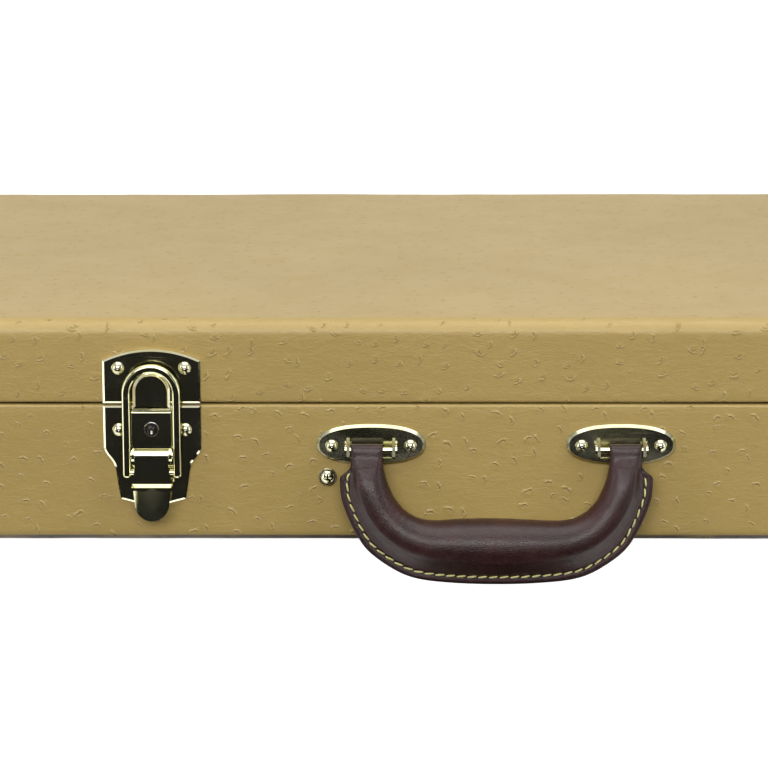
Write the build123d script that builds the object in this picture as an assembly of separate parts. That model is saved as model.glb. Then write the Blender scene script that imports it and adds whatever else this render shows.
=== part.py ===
from build123d import *
import math
import os

# Hard-shell case for a solid-body electric guitar: plywood shell, embossed vinyl
# covering, leather handle, plated drawbolt latches, plush-lined foam interior.
# Millimetres. +X runs from the headstock end to the body end, -Y is the handle side,
# +Z is up with the case lying on its back. The origin is the centre of the underside.

# ---------------------------------------------------------------- driving sizes
LENGTH = 1040.0
WIDTH = 350.0
HEIGHT = 104.2
CORNER_R = 38.0            # upright corners of the shell
SEAM_Z = 65.2              # middle of the closing gap
SEAM_GAP = 0.5
TOP_EDGE_R = 7.0
BOTTOM_EDGE_R = 5.0
RIM_EDGE_R = 1.4           # vinyl turned over the rim
WOOD_RIM_R = RIM_EDGE_R - 0.9
SKIN = 1.0                 # vinyl
GLUE = 0.05                # glue line between layers
PLY = 5.0
RIM_STRIP = 3.0            # wooden register strip inside the base rim
RIM_STRIP_UP = 6.0         # how far the strip stands above the closing gap
FIT = 0.05                 # gap between parts laid against each other
PAD_GAP = 0.1              # gap between neighbouring pads

FOAM_TOP = 60.0            # top of the padding in the base
FOAM_FLOOR = 16.0          # top of the floor pad
LID_PAD_Z = 85.0           # underside of the padding in the lid
HALF_NECK = 41.0           # half width of the neck channel

HANDLE_X = 38.4            # handle centre along the case
HANDLE_Z = 44.9            # handle pin axis
HANDLE_PIN_OUT = 6.4       # handle pin axis in front of the wall
HANDLE_PLATE_X = 57.2      # handle plates either side of the handle centre
HANDLE_TAB_X = 59.0        # handle ends either side of the handle centre
HANDLE_TILT = 9.5          # the hanging grip leans on the wall, degrees
HANDLE_PIN_R = 1.5

LATCH_X = (-420.0, -118.9, 196.0, 440.0)
KEYED = 1                  # index of the latch with the lock
HINGE_X = (-360.0, 0.0, 360.0)

RIVET_R = 1.3
RIVET_HOLE_R = RIVET_R + 0.02
RIVET_HEAD_R = 2.95
RUN = 0.05                 # running clearance on a radius
PRESS = 0.01               # clearance on the radius of a fixed pin

FRONT = -WIDTH / 2
BACK = WIDTH / 2
BASE_TOP = SEAM_Z - SEAM_GAP / 2
LID_LOW = SEAM_Z + SEAM_GAP / 2
WALL_IN = SKIN + PLY       # outer face of the covering to the inner face of the wood
LID_PANEL_Z = HEIGHT - WALL_IN

parts = {}                 # file name -> shape
base_holes = []            # cutters for shank holes in the base, added with each fitting
lid_holes = []             # the same for the lid


# ---------------------------------------------------------------- helpers
def block(inset, z0, z1):
    """Upright block with rounded corners, set in from the outer face."""
    outline = RectangleRounded(LENGTH - 2 * inset, WIDTH - 2 * inset, CORNER_R - inset)
    return Pos(0, 0, z0) * extrude(outline, z1 - z0)


def bar(x0, x1, y0, y1, z0, z1):
    return Pos((x0 + x1) / 2, (y0 + y1) / 2, (z0 + z1) / 2) * Box(x1 - x0, y1 - y0, z1 - z0)


def slab(z0, z1):
    """Layer wider than the whole case, for splitting parts by height."""
    return bar(-600, 600, -300, 300, z0, z1)


def front(x, z, y=FRONT):
    """Places a part made as (toward +X, up, out) on the front wall."""
    return Plane(origin=(x, y, z), x_dir=(1, 0, 0), z_dir=(0, -1, 0)).location


def rear(x, z):
    """Places a part made as (toward -X, up, out) on the back wall."""
    return Plane(origin=(x, BACK, z), x_dir=(-1, 0, 0), z_dir=(0, 1, 0)).location


def along_x(r, x0, x1, up, out):
    """Round bar along x in a wall frame."""
    return Pos((x0 + x1) / 2, up, out) * Rot(0, 90, 0) * Cylinder(r, x1 - x0)


def closed(points):
    return make_face(Polyline(*points, points[0]))


def profile_along_x(points, x0, width):
    """Extrudes an (up, out) outline along x, starting at x0."""
    plane = Plane(origin=(x0, 0, 0), x_dir=(0, 1, 0), z_dir=(1, 0, 0))
    return extrude(plane * closed(points), width)


def side_span(side, near, far):
    """The range near..far on the given side (-1 or 1) of x = 0, low end first."""
    return sorted((side * near, side * far))


def mirrored_line(points):
    """Continues a line that ends at x = 0 with its mirror image."""
    return points + [(-x, *rest) for x, *rest in reversed(points[:-1])]


def low_edges(shape):
    return shape.edges().group_by(Axis.Z)[0]


def high_edges(shape):
    return shape.edges().group_by(Axis.Z)[-1]


def top_face(shape):
    return shape.faces().sort_by(Axis.Z)[-1]


def fused(shapes):
    total = shapes[0]
    for shape in shapes[1:]:
        total = total + shape
    return total


def cut(shape, tools):
    for tool in tools:
        shape = shape - tool
    return shape


def merged(shapes):
    """Collects separate solids in one compound."""
    return Compound(children=[solid for shape in shapes for solid in shape.solids()])


def dome(r, h):
    """Domed head, flat side on z = 0."""
    ball_r = (r * r + h * h) / (2 * h)
    return (Pos(0, 0, h - ball_r) * Sphere(ball_r)) & (Pos(0, 0, h / 2) * Box(4 * r, 4 * r, h))


def rivet(seat, r, h):
    """Domed rivet, its head seated above the wall and its shank ending at the wood's inside."""
    length = seat + 0.1 + WALL_IN
    shank = Pos(0, 0, (seat + 0.1 - WALL_IN) / 2) * Cylinder(RIVET_R, length)
    return (Pos(0, 0, seat) * dome(r, h)) + shank


def wall_hole(at, x=0, y=0, depth=WALL_IN, r=RIVET_HOLE_R):
    return at * Pos(x, y, -depth / 2) * Cylinder(r, depth + 4)


def set_rivets(at, places, holes, seat, r=RIVET_HEAD_R, h=1.8):
    """Rivets at places in a wall frame; their wall holes are added to holes."""
    holes += [wall_hole(at, x, y) for x, y in places]
    return [at * Pos(x, y, 0) * rivet(seat, r, h) for x, y in places]


def riveted(plate, places):
    """Makes the rivet holes in a plate."""
    return cut(plate, [Pos(x, y, 0) * Cylinder(RIVET_HOLE_R, 12) for x, y in places])


def headed_pin(r, half, head_r, head, up, out):
    """Pin along x with a collar over the range head at each end."""
    pin = along_x(r, -half, half, up, out)
    for side in (1, -1):
        pin = pin + along_x(head_r, *side_span(side, *head), up, out)
    return pin


# ---------------------------------------------------------------- latches
# Wall frame (x, up, out) centred on the closing gap.
PLATE_T = 1.7
PLATE_EDGE = 0.35 + SEAM_GAP / 2   # plate edges from the middle of the gap
BOSS_OUT = 5.0
LOCK_BOX_OUT = 6.1
LEVER_UP = -22.6
LEVER_OUT = 6.7
BAIL_UP = -30.9
BAIL_OUT = 6.0
BAIL_LOW = -33.4                   # bottom of the ring
BAIL_BACK = 5.12                   # back of the ring in front of the wall
BAIL_T = 2.2
BAIL_END_R = 1.1
PIVOT_R = 1.2
KEY_UP = -10.6
PLUG_R = 3.5
WEB_HALF = 7.7                     # half width of the lever at its pivot
TAB_BOW_R = 22.0                   # radius of the bowed thumb tab
TAB_T = 1.1
TAB_TOP = -37.0
STRIKE_RIVETS = ((-15.2, 17.0), (15.2, 17.0))
PLATE_RIVETS = ((-15.2, -11.8), (15.2, -11.8), (0, -41.5))


def bevelled_plate(outline, bevel=0.85):
    # a shallow bevel: wider across the face than down the side
    plate = extrude(outline, PLATE_T)
    top = top_face(plate)
    return chamfer(top.edges(), bevel, bevel * 0.55, reference=top)


def arch(half, top, low):
    """Flat-bottomed arch: a half ellipse on straight sides."""
    rise = half * 1.02
    spring = top - rise
    curve = EllipticalCenterArc((0, spring), half, rise, start_angle=0, arc_size=180)
    line = Polyline((-half, spring), (-half, low), (half, low), (half, spring))
    return make_face([*line.edges(), *curve.edges()])


def make_strike_plate():
    half, shoulder, crown = 22.3, 20.4, 25.6
    sides = Polyline(
        (-half, shoulder), (-half, PLATE_EDGE), (half, PLATE_EDGE), (half, shoulder))
    crown_arc = ThreePointArc((half, shoulder), (0, crown), (-half, shoulder))
    strike = bevelled_plate(make_face([*sides.edges(), *crown_arc.edges()]))
    boss_back = PLATE_T + 0.35
    boss = Pos(0, 0, boss_back) * extrude(arch(8.5, 15.4, -1.4), BOSS_OUT - boss_back)
    boss = chamfer(top_face(boss).edges(), 1.3)
    boss_foot = Pos(0, 0, PLATE_T - 0.2) * extrude(arch(8.5, 15.4, 1.2), 0.8)
    return riveted(strike + boss_foot + boss, STRIKE_RIVETS)


def base_plate_outline():
    half, waist, tip = 22.3, 14.9, -44.6
    right = [
        Line((0, -PLATE_EDGE), (half, -PLATE_EDGE)),
        Line((half, -PLATE_EDGE), (half, -20.5)),
        Spline((half, -20.5), (18.2, -27.2), (16.4, -35.0), (waist, tip),
               tangents=[(-0.25, -1), (-0.16, -1)]),
        Line((waist, tip), (0, -48.6)),
    ]
    edges = [edge for curve in right for edge in curve.edges()]
    edges += [mirror(curve, about=Plane.YZ).edges()[0] for curve in right]
    return make_face(edges)


def make_base_plate():
    """Plate with a raised box and two ears that carry the lever pin."""
    plate = bevelled_plate(base_plate_outline())
    box_place = Pos(0, -11.3, (PLATE_T + LOCK_BOX_OUT) / 2 - 0.1)
    box = box_place * Box(18.4, 17.6, LOCK_BOX_OUT - PLATE_T + 0.2)
    box = fillet(top_face(box).edges(), 0.45)
    ears = []
    for side in (-1, 1):
        ear = bar(*side_span(side, 7.95, 9.2), -25.6, -19.6, PLATE_T - 0.2, 9.2)
        ears.append(fillet(ear.edges().filter_by(Axis.X).sort_by(Axis.Z)[-2:], 2.4))
    plate = plate + box + fused(ears)
    plate = plate - along_x(PIVOT_R + PRESS, -12, 12, LEVER_UP, LEVER_OUT)
    return riveted(plate, PLATE_RIVETS)


def make_keyed_plate(plate):
    """Base plate hollowed for the cam and bored for the plug."""
    cam_space = bar(-7.7, 7.7, -18.6, -3.8, PLATE_T - 0.6, 4.0)
    return plate - cam_space - Pos(0, KEY_UP, 5) * Cylinder(PLUG_R + RUN, 8)


def make_lock_plug():
    plug = Pos(0, KEY_UP, 4.1) * Cylinder(PLUG_R, 4.2)
    plug = chamfer(plug.edges().sort_by(Axis.Z)[-1], 0.35)
    # keyhole: a round hole with a slot below it
    plug = plug - Pos(0, KEY_UP + 0.9, 5.2) * Cylinder(1.05, 3.2)
    plug = plug - Pos(0, KEY_UP - 0.7, 5.2) * Box(0.95, 3.0, 3.2)
    # square drive for the cam
    return plug + Pos(0, KEY_UP, 1.95) * Box(2.4, 2.4, 0.9)


def make_lock_cam():
    cam = bar(-7.1, 2.2, KEY_UP - 2.0, KEY_UP + 2.0, 1.32, 1.95)
    return cam - Pos(0, KEY_UP, 1.9) * Box(2.44, 2.44, 2.4)


def make_bail():
    """Arched ring whose ends turn inward into the lever."""
    outer = extrude(arch(13.4, 19.6, BAIL_LOW), BAIL_T)
    inner = Pos(0, 0, -1) * extrude(arch(9.6, 15.7, BAIL_LOW - 5), BAIL_T + 2)
    bail = outer - inner
    bail = fillet(bail.edges().filter_by(Axis.Z).group_by(Axis.Y)[0], 1.6)
    bail = fillet(top_face(bail).edges(), 1.3)
    bail = Pos(0, 0, BAIL_BACK) * bail
    for side in (-1, 1):
        bail = bail + along_x(BAIL_END_R, *side_span(side, 6.2, 11.0), BAIL_UP, BAIL_OUT)
    return bail


def make_thumb_tab():
    """Tab bowed across its width, leaning about its top edge."""
    corners = Polyline((-7.9, -45.0), (-8.7, TAB_TOP), (8.7, TAB_TOP), (7.9, -45.0))
    tip = ThreePointArc((7.9, -45.0), (0, -52.6), (-7.9, -45.0))
    tab = Pos(0, 0, -4) * extrude(make_face([*corners.edges(), *tip.edges()]), 6)
    tube = Cylinder(TAB_BOW_R, 60) - Cylinder(TAB_BOW_R - TAB_T, 62)
    bow = Pos(0, -45, TAB_T - TAB_BOW_R) * Rot(90, 0, 0) * tube
    tab = tab & bow & (Pos(0, -45, 0) * Box(40, 40, 8))
    return Pos(0, TAB_TOP, 9.8) * Rot(-4, 0, 0) * Pos(0, -TAB_TOP, 0) * tab


def make_lever():
    """Flared web, rolled pivot, a step out to the thumb tab, and two cheeks."""
    web_outline = [
        (-WEB_HALF, LEVER_UP), (-WEB_HALF, -27.5), (-9.1, -36.2),
        (9.1, -36.2), (WEB_HALF, -27.5), (WEB_HALF, LEVER_UP),
    ]
    ledge_outline = [(-36.2, 7.5), (-35.7, 8.8), (-36.9, 10.9), (-38.4, 10.9), (-38.4, 9.9)]
    web = Pos(0, 0, 7.5) * extrude(closed(web_outline), 1.3)
    knuckle = along_x(2.25, -WEB_HALF, WEB_HALF, LEVER_UP, LEVER_OUT)
    lever = web + knuckle + profile_along_x(ledge_outline, -9.1, 18.2) + make_thumb_tab()
    for side in (-1, 1):
        cheek = bar(*side_span(side, 6.45, WEB_HALF), -33.6, LEVER_UP, 3.5, 8.0)
        low_back = cheek.edges().filter_by(Axis.X).group_by(Axis.Y)[0].sort_by(Axis.Z)[0]
        lever = lever + fillet(low_back, 1.6)
    lever = lever - along_x(PIVOT_R + RUN, -12, 12, LEVER_UP, LEVER_OUT)
    return lever - along_x(BAIL_END_R + RUN, -12, 12, BAIL_UP, BAIL_OUT)


strike_plate = make_strike_plate()
base_plate = make_base_plate()
keyed_plate = make_keyed_plate(base_plate)
bail = make_bail()
lever = make_lever()
lever_pin = headed_pin(PIVOT_R, 9.6, 1.9, (9.22, 9.5), LEVER_UP, LEVER_OUT)

strike_rivets, plate_rivets, lever_pins = [], [], []
for i, latch_x in enumerate(LATCH_X):
    at = front(latch_x, SEAM_Z)
    prefix = f"latch{i + 1}_"
    parts[prefix + "strike_plate"] = at * strike_plate
    parts[prefix + "base_plate"] = at * (keyed_plate if i == KEYED else base_plate)
    parts[prefix + "lever"] = at * lever
    parts[prefix + "bail"] = at * bail
    lever_pins.append(at * lever_pin)
    strike_rivets += set_rivets(at, STRIKE_RIVETS, lid_holes, PLATE_T)
    plate_rivets += set_rivets(at, PLATE_RIVETS, base_holes, PLATE_T)
parts["latch_lever_pins"] = merged(lever_pins)
parts["latch_strike_rivets"] = merged(strike_rivets)
parts["latch_plate_rivets"] = merged(plate_rivets)
keyed_at = front(LATCH_X[KEYED], SEAM_Z)
parts["lock_plug"] = keyed_at * make_lock_plug()
parts["lock_cam"] = keyed_at * make_lock_cam()

# ---------------------------------------------------------------- handle fittings
# Wall frame (x, up, out) centred under the pin axis.
EYE_PLATE_T = 2.2
EYE_PLATE_UP = 1.4         # middle of the oval plates above the pin axis
EYE_RIVET_UP = EYE_PLATE_UP - 0.5
EYE_RIVETS = ((-18.0, EYE_RIVET_UP), (18.0, EYE_RIVET_UP))
LUG_T = 1.4
LUG = [(5.0, 1.0), (5.0, 1.8), (2.4, 8.4), (-2.4, 8.9), (-5.4, 1.8), (-5.4, 1.0)]  # (up, out)


def superellipse(half_x, half_y, power, count=48):
    points = []
    for k in range(count):
        angle = 2 * math.pi * k / count
        c, s = math.cos(angle), math.sin(angle)
        points.append((half_x * math.copysign(abs(c) ** (2 / power), c),
                       half_y * math.copysign(abs(s) ** (2 / power), s)))
    return make_face(Spline(*points, periodic=True))


def make_eye_plate():
    """Oval plate with a shallow recess and two lugs for the handle pin."""
    plate = Pos(0, EYE_PLATE_UP, 0) * extrude(superellipse(25.0, 9.6, 2.35), EYE_PLATE_T)
    plate = chamfer(top_face(plate).edges(), 1.3)
    plate = plate - bar(-9.6, 9.6, -4.8, 5.0, 1.3, 3)
    for side in (-1, 1):
        plate = plate + profile_along_x(LUG, side * 10.4 - LUG_T / 2, LUG_T)
    plate = plate - along_x(HANDLE_PIN_R + PRESS, -14, 14, 0, HANDLE_PIN_OUT)
    return riveted(plate, EYE_RIVETS)


eye_plate = make_eye_plate()
handle_pin = headed_pin(HANDLE_PIN_R, 11.9, 2.2, (11.2, 11.9), 0, HANDLE_PIN_OUT)
eye_plates, handle_pins, handle_rivets = [], [], []
for side in (-1, 1):
    at = front(HANDLE_X + side * HANDLE_PLATE_X, HANDLE_Z)
    eye_plates.append(at * eye_plate)
    handle_pins.append(at * handle_pin)
    handle_rivets += set_rivets(at, EYE_RIVETS, base_holes, EYE_PLATE_T, h=1.9)
parts["handle_plates"] = merged(eye_plates)
parts["handle_pins"] = merged(handle_pins)
parts["handle_rivets"] = merged(handle_rivets)

# ---------------------------------------------------------------- handle
# Centre line of the padded grip from the left pin down and round to the middle:
# (x from the handle centre, distance below the pin, radius in plane, radius across)
HALF_GRIP = [
    (-59.1, 5.0, 7.4, 3.9),
    (-58.9, 9.5, 7.8, 5.9),
    (-58.2, 15.5, 8.5, 7.5),
    (-56.2, 22.0, 8.9, 8.2),
    (-52.6, 28.9, 9.2, 8.5),
    (-46.6, 35.6, 9.6, 9.0),
    (-38.6, 40.5, 10.2, 9.7),
    (-28.8, 43.0, 11.0, 10.6),
    (-15.0, 43.7, 12.2, 11.8),
    (0.0, 43.8, 12.8, 12.3),
]
GRIP = mirrored_line(HALF_GRIP)
LAST = len(GRIP) - 1
# Outer edge of the flat flange, left half: (x, distance below the pin)
HALF_FLANGE = [
    (-66.2, 10.3), (-71.3, 13.0), (-70.6, 22.3), (-67.6, 30.8), (-64.0, 38.0),
    (-57.8, 46.8), (-46.2, 54.9), (-35.1, 59.1), (-18.0, 60.9), (0.0, 61.4),
]
FLANGE_T = 2.8
LEATHER_T = 1.8
STRAP_T = 1.3
STRAP_W = 11.0
EYE_R = 2.6
EYE_HALF = 5.6             # half length of a strap eye
STRAP_LINE = mirrored_line(
    [(-HANDLE_TAB_X, -2.2)] + [(x, -drop) for x, drop, *_ in HALF_GRIP[1:]])
LEATHER_END_HALF = 7.4     # half width of the leather round a pin


def grip_loft(shrink, first, last):
    """Elliptical loft through the grip stations, square to the centre line."""
    sections = []
    for i in range(first, last + 1):
        x, drop, in_plane, across = GRIP[i]
        if i == 0:
            tangent = Vector(0, -1, 0)
        elif i == LAST:
            tangent = Vector(0, 1, 0)
        else:
            (x0, drop0), (x1, drop1) = GRIP[i - 1][:2], GRIP[i + 1][:2]
            tangent = Vector(x1 - x0, -(drop1 - drop0), 0).normalized()
        plane = Plane(origin=(x, -drop, 0), x_dir=(0, 0, 1), z_dir=tuple(tangent))
        sections.append(plane * Ellipse(across - shrink, in_plane - shrink))
    return loft(sections)


def make_flange():
    rim = [(x, -drop) for x, drop in mirrored_line(HALF_FLANGE)]
    middle = [(x, -drop) for x, drop, *_ in GRIP[2:-2]]
    outline = make_face([
        *Line(middle[0], rim[0]).edges(),
        *Line(rim[0], rim[1]).edges(),
        *Spline(*rim[1:-1]).edges(),
        *Line(rim[-2], rim[-1]).edges(),
        *Line(rim[-1], middle[-1]).edges(),
        *Spline(*reversed(middle)).edges(),
    ])
    return Pos(0, 0, -FLANGE_T / 2) * extrude(outline, FLANGE_T)


def offset_line(points, offset):
    result = []
    for i, (x, y) in enumerate(points):
        x0, y0 = points[max(i - 1, 0)]
        x1, y1 = points[min(i + 1, len(points) - 1)]
        length = math.hypot(x1 - x0, y1 - y0)
        result.append((x - (y1 - y0) / length * offset, y + (x1 - x0) / length * offset))
    return result


def strap_band(extra=0.0):
    """The bent strap, grown by extra on every side."""
    thick, wide = STRAP_T + 2 * extra, STRAP_W + 2 * extra
    upper, lower = offset_line(STRAP_LINE, thick / 2), offset_line(STRAP_LINE, -thick / 2)
    return Pos(0, 0, -wide / 2) * extrude(closed([*upper, *reversed(lower)]), wide)


def strap_eyes(extra=0.0):
    half = EYE_HALF + extra
    return fused([
        along_x(EYE_R + extra, side * HANDLE_TAB_X - half, side * HANDLE_TAB_X + half, 0, 0)
        for side in (-1, 1)])


def make_strap():
    """Steel strap lying across the grip, its eyes rolled about the pin axis."""
    # the strap narrows where it enters the eyes so that it fits the tab
    narrowing = fused([
        bar(side * HANDLE_TAB_X - 4, side * HANDLE_TAB_X + 4, -12.5, 0, *side_span(edge, 3.0, 8))
        for side in (-1, 1) for edge in (-1, 1)])
    strap = (strap_band() - narrowing) + strap_eyes()
    return strap - along_x(HANDLE_PIN_R + RUN, -80, 80, 0, 0)


def make_leather(strap_space):
    leather = grip_loft(0, 0, LAST) + make_flange()
    for side in (-1, 1):
        x0 = side * HANDLE_TAB_X - LEATHER_END_HALF
        x1 = side * HANDLE_TAB_X + LEATHER_END_HALF
        leather = leather + along_x(3.8, x0, x1, 0, 0)
        leather = leather + bar(x0, x1, -6.5, 0, -3.75, 3.75)
    leather = leather - grip_loft(LEATHER_T - FIT, 1, LAST - 1) - strap_space - strap_eyes(FIT)
    return leather - along_x(HANDLE_PIN_R + 0.4, -80, 80, 0, 0)


hanging = front(HANDLE_X, HANDLE_Z, FRONT - HANDLE_PIN_OUT) * Rot(-HANDLE_TILT, 0, 0)
strap_space = strap_band(FIT)
parts["handle_steel_strap"] = hanging * make_strap()
parts["handle_core"] = hanging * (grip_loft(LEATHER_T, 1, LAST - 1) - strap_space)
parts["handle_leather"] = hanging * make_leather(strap_space)

# ---------------------------------------------------------------- hinges on the back
HINGE_OUT = 4.4            # hinge axis behind the back wall
HINGE_PIN_R = 1.5
LEAF_HALF = 26.0
LEAF_H = 22.0
LEAF_T = 1.2
BARREL_R = 3.2
MID_BARREL = 9.0           # half length of the lid's barrel, in the middle
BARREL_GAP = 0.3
LEAF_RIVET_X = 17.5
LEAF_RIVET_UP = 13.5


def leaf_rivets(sign):
    return [(x, sign * LEAF_RIVET_UP) for x in (-LEAF_RIVET_X, LEAF_RIVET_X)]


def make_leaf(sign, spans):
    """Half of a butt hinge: sign +1 lies on the lid, -1 on the base."""
    leaf = bar(-LEAF_HALF, LEAF_HALF, *side_span(sign, 0.9, LEAF_H), 0, LEAF_T)
    far_corners = leaf.edges().filter_by(Axis.Z).group_by(Axis.Y)[-1 if sign > 0 else 0]
    leaf = fillet(far_corners, 5.0)
    leaf = chamfer(top_face(leaf).edges(), 0.4)
    for x0, x1 in spans:
        leaf = leaf + along_x(BARREL_R, x0, x1, 0, HINGE_OUT)
        leaf = leaf + bar(x0, x1, *side_span(sign, 0.7, 3.0), 0.3, HINGE_OUT)
    leaf = leaf - along_x(HINGE_PIN_R + RUN, -40, 40, 0, HINGE_OUT)
    return riveted(leaf, leaf_rivets(sign))


def barrel_clearance(x0, x1):
    return along_x(BARREL_R + 0.4, x0, x1, 0, HINGE_OUT)


barrel_near = MID_BARREL + BARREL_GAP / 2
barrel_mid = MID_BARREL - BARREL_GAP / 2
base_leaf = make_leaf(-1, [(-LEAF_HALF, -barrel_near), (barrel_near, LEAF_HALF)])
lid_leaf = make_leaf(1, [(-barrel_mid, barrel_mid)])
# clear each leaf from the other half's barrel
lid_leaf = lid_leaf - barrel_clearance(-LEAF_HALF - 0.5, -MID_BARREL)
lid_leaf = lid_leaf - barrel_clearance(MID_BARREL, LEAF_HALF + 0.5)
base_leaf = base_leaf - barrel_clearance(-MID_BARREL, MID_BARREL)
hinge_pin = along_x(HINGE_PIN_R, -26.4, 26.4, 0, HINGE_OUT)
hinge_pin = hinge_pin + along_x(2.5, 26.2, 27.2, 0, HINGE_OUT)

hinge_places = [rear(x, SEAM_Z) for x in HINGE_X]
parts["hinge_base_leaves"] = merged([at * base_leaf for at in hinge_places])
parts["hinge_lid_leaves"] = merged([at * lid_leaf for at in hinge_places])
parts["hinge_pins"] = merged([at * hinge_pin for at in hinge_places])
for name, sign, holes in (("base", -1, base_holes), ("lid", 1, lid_holes)):
    rivets = []
    for at in hinge_places:
        rivets += set_rivets(at, leaf_rivets(sign), holes, LEAF_T, r=2.6, h=1.3)
    parts[f"hinge_{name}_rivets"] = merged(rivets)

# ---------------------------------------------------------------- feet on the back wall
FOOT_H = 9.5


def make_foot():
    """Turned foot with a shank through the wall."""
    profile = make_face([
        *Polyline((0, FOOT_H), (0, 0), (9.0, 0), (9.0, 1.2), (7.6, 1.8)).edges(),
        *Spline((7.6, 1.8), (6.4, 5.6), (3.6, 8.6), (0, FOOT_H),
                tangents=[(-0.1, 1), (-1, 0)]).edges(),
    ])
    shank = Pos(0, 0, (0.1 - WALL_IN) / 2) * Cylinder(RIVET_R, WALL_IN + 0.1)
    return revolve(Plane.XZ * profile, Axis.Z) + shank


foot = make_foot()
for name, foot_xs, foot_z, holes in (
    ("base", (-470.0, -180.0, 180.0, 470.0), 15.0, base_holes),
    ("lid", (-470.0, 470.0), 86.0, lid_holes),
):
    places = [rear(x, foot_z) for x in foot_xs]
    holes += [wall_hole(at) for at in places]
    parts[f"{name}_spine_feet"] = merged([at * foot for at in places])

# ---------------------------------------------------------------- accessory compartment
PAD_IN = WALL_IN + RIM_STRIP + 0.3                # padding starts here from the outer face
X_LOW, X_HIGH = -LENGTH / 2 + PAD_IN, LENGTH / 2 - PAD_IN
Y_LOW, Y_HIGH = FRONT + PAD_IN, BACK - PAD_IN
FLOOR_Z = WALL_IN + FIT                           # underside of what stands on the panel
PARTITION_X = (-272.0, HANDLE_X - 77.2)           # outer and inner partition
PARTITION_T = 6.0
PARTITION_TOP = FOAM_TOP - 4.5
COMP_X0 = PARTITION_X[0] - PARTITION_T / 2        # outside of the two partitions
COMP_X1 = PARTITION_X[1] + PARTITION_T / 2
WALL_Y0, WALL_Y1 = -50.0, -44.0                   # wall beside the neck channel
SCREW_Z = 30.75
SCREW_R = 1.5
SCREW_HOLE_R = SCREW_R + 0.02
COVER_X0, COVER_X1 = COMP_X0 + 1.0, COMP_X1 - 1.0
COVER_Y0, COVER_Y1 = Y_LOW + 2.0, WALL_Y0 + 1.0
COVER_Z0 = PARTITION_TOP + 0.3
COVER_MID_X = (COVER_X0 + COVER_X1) / 2


def make_cup_washer():
    cup = Pos(0, 0, 0.55) * Cylinder(4.3, 1.1)
    cup = chamfer(cup.edges().sort_by(Axis.Z)[-1], 0.6)
    cup = cup - Pos(0, 0, 0.6) * Cone(1.6, 3.05, 1.1) - Cylinder(1.6, 6)
    return cup - Pos(0, 0, 0.88) * dome(3.4, 1.95)


def make_screw():
    """Raised countersunk screw with a cross recess."""
    screw = Pos(0, 0, 0.9) * dome(3.35, 1.9)
    screw = screw + Pos(0, 0, 0.6) * Cone(1.5, 2.9, 1.0)
    screw = screw + Pos(0, 0, -12.9) * Cylinder(SCREW_R, 26.6)
    for angle in (0, 90):
        screw = screw - Pos(0, 0, 2.6) * Rot(0, 0, angle) * Box(3.6, 0.75, 2.4)
    return screw


screw_places = [front(x, SCREW_Z) for x in PARTITION_X]
for name, x, at in zip(("outer", "inner"), PARTITION_X, screw_places):
    board = bar(x - PARTITION_T / 2, x + PARTITION_T / 2, Y_LOW, WALL_Y0 - FIT,
                FLOOR_Z, PARTITION_TOP)
    screw_hole = at * Pos(0, 0, -14) * Cylinder(SCREW_HOLE_R, 34)
    parts[f"compartment_{name}_partition"] = board - screw_hole
    base_holes.append(wall_hole(at, depth=WALL_IN + 4, r=SCREW_HOLE_R))
screw, cup_washer = make_screw(), make_cup_washer()
parts["partition_screws"] = merged([at * screw for at in screw_places])
parts["partition_cup_washers"] = merged([at * cup_washer for at in screw_places])
parts["compartment_neck_wall"] = bar(
    COMP_X0, COMP_X1, WALL_Y0, WALL_Y1, FLOOR_Z, PARTITION_TOP)

cover = bar(COVER_X0, COVER_X1, COVER_Y0, COVER_Y1, COVER_Z0, FOAM_TOP)
parts["compartment_cover"] = fillet(cover.edges().filter_by(Axis.Z).group_by(Axis.Y)[0], 6.0)
tape_place = Pos(COVER_MID_X, COVER_Y1 + 1.45, COVER_Z0 + 1.4) * Rot(0, 90, 0)
parts["compartment_hinge_tape"] = tape_place * Cylinder(1.35, COVER_X1 - COVER_X0 - 20)
pull_tab = bar(COVER_MID_X - 9, COVER_MID_X + 9, COVER_Y0 + 3, COVER_Y0 + 31,
               FOAM_TOP + FIT, FOAM_TOP + 1.8)
parts["compartment_pull_tab"] = fillet(pull_tab.edges().filter_by(Axis.Z), 5.0)

# ---------------------------------------------------------------- padding in the base
BODY_X0 = 62.0             # headstock end of the body surround
HEAD_X1 = -300.0           # body end of the headstock surround
POCKET_X0, POCKET_X1 = -494.0, HEAD_X1 + 8
POCKET_W = 132.0
CRADLE_X = -202.0
# Body cavity, +Y half, from the neck round to the body end: (x, y)
CAVITY = [
    (BODY_X0 - 5, HALF_NECK), (96.0, HALF_NECK + 3), (104.0, 70.0), (103.0, 104.0),
    (120.0, 137.0), (163.0, 150.0), (212.0, 141.0), (264.0, 131.0), (322.0, 144.0),
    (378.0, 156.5), (430.0, 152.0), (476.0, 117.0), (495.0, 60.0), (498.0, 0.0),
]


def pad(x0, x1, y0, y1):
    """Foam above the floor pad, trimmed to the rounded inside of the case."""
    region = bar(x0, x1, y0, y1, FOAM_FLOOR + FIT - 1, FOAM_TOP + 1)
    return block(PAD_IN, FOAM_FLOOR + FIT, FOAM_TOP) & region


def body_cavity():
    (x0, y0), (x1, y1) = CAVITY[:2]
    curve = Spline(*CAVITY[1:], tangents=[(0.4, 1), (0, -1)])
    outline = make_face([
        *Line((x0, y0), (x1, y1)).edges(),
        *curve.edges(),
        *mirror(curve, about=Plane.XZ).edges(),
        *Line((x1, -y1), (x0, -y0)).edges(),
        *Line((x0, -y0), (x0, y0)).edges(),
    ])
    return Pos(0, 0, FOAM_FLOOR - 1) * extrude(outline, 60)


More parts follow.
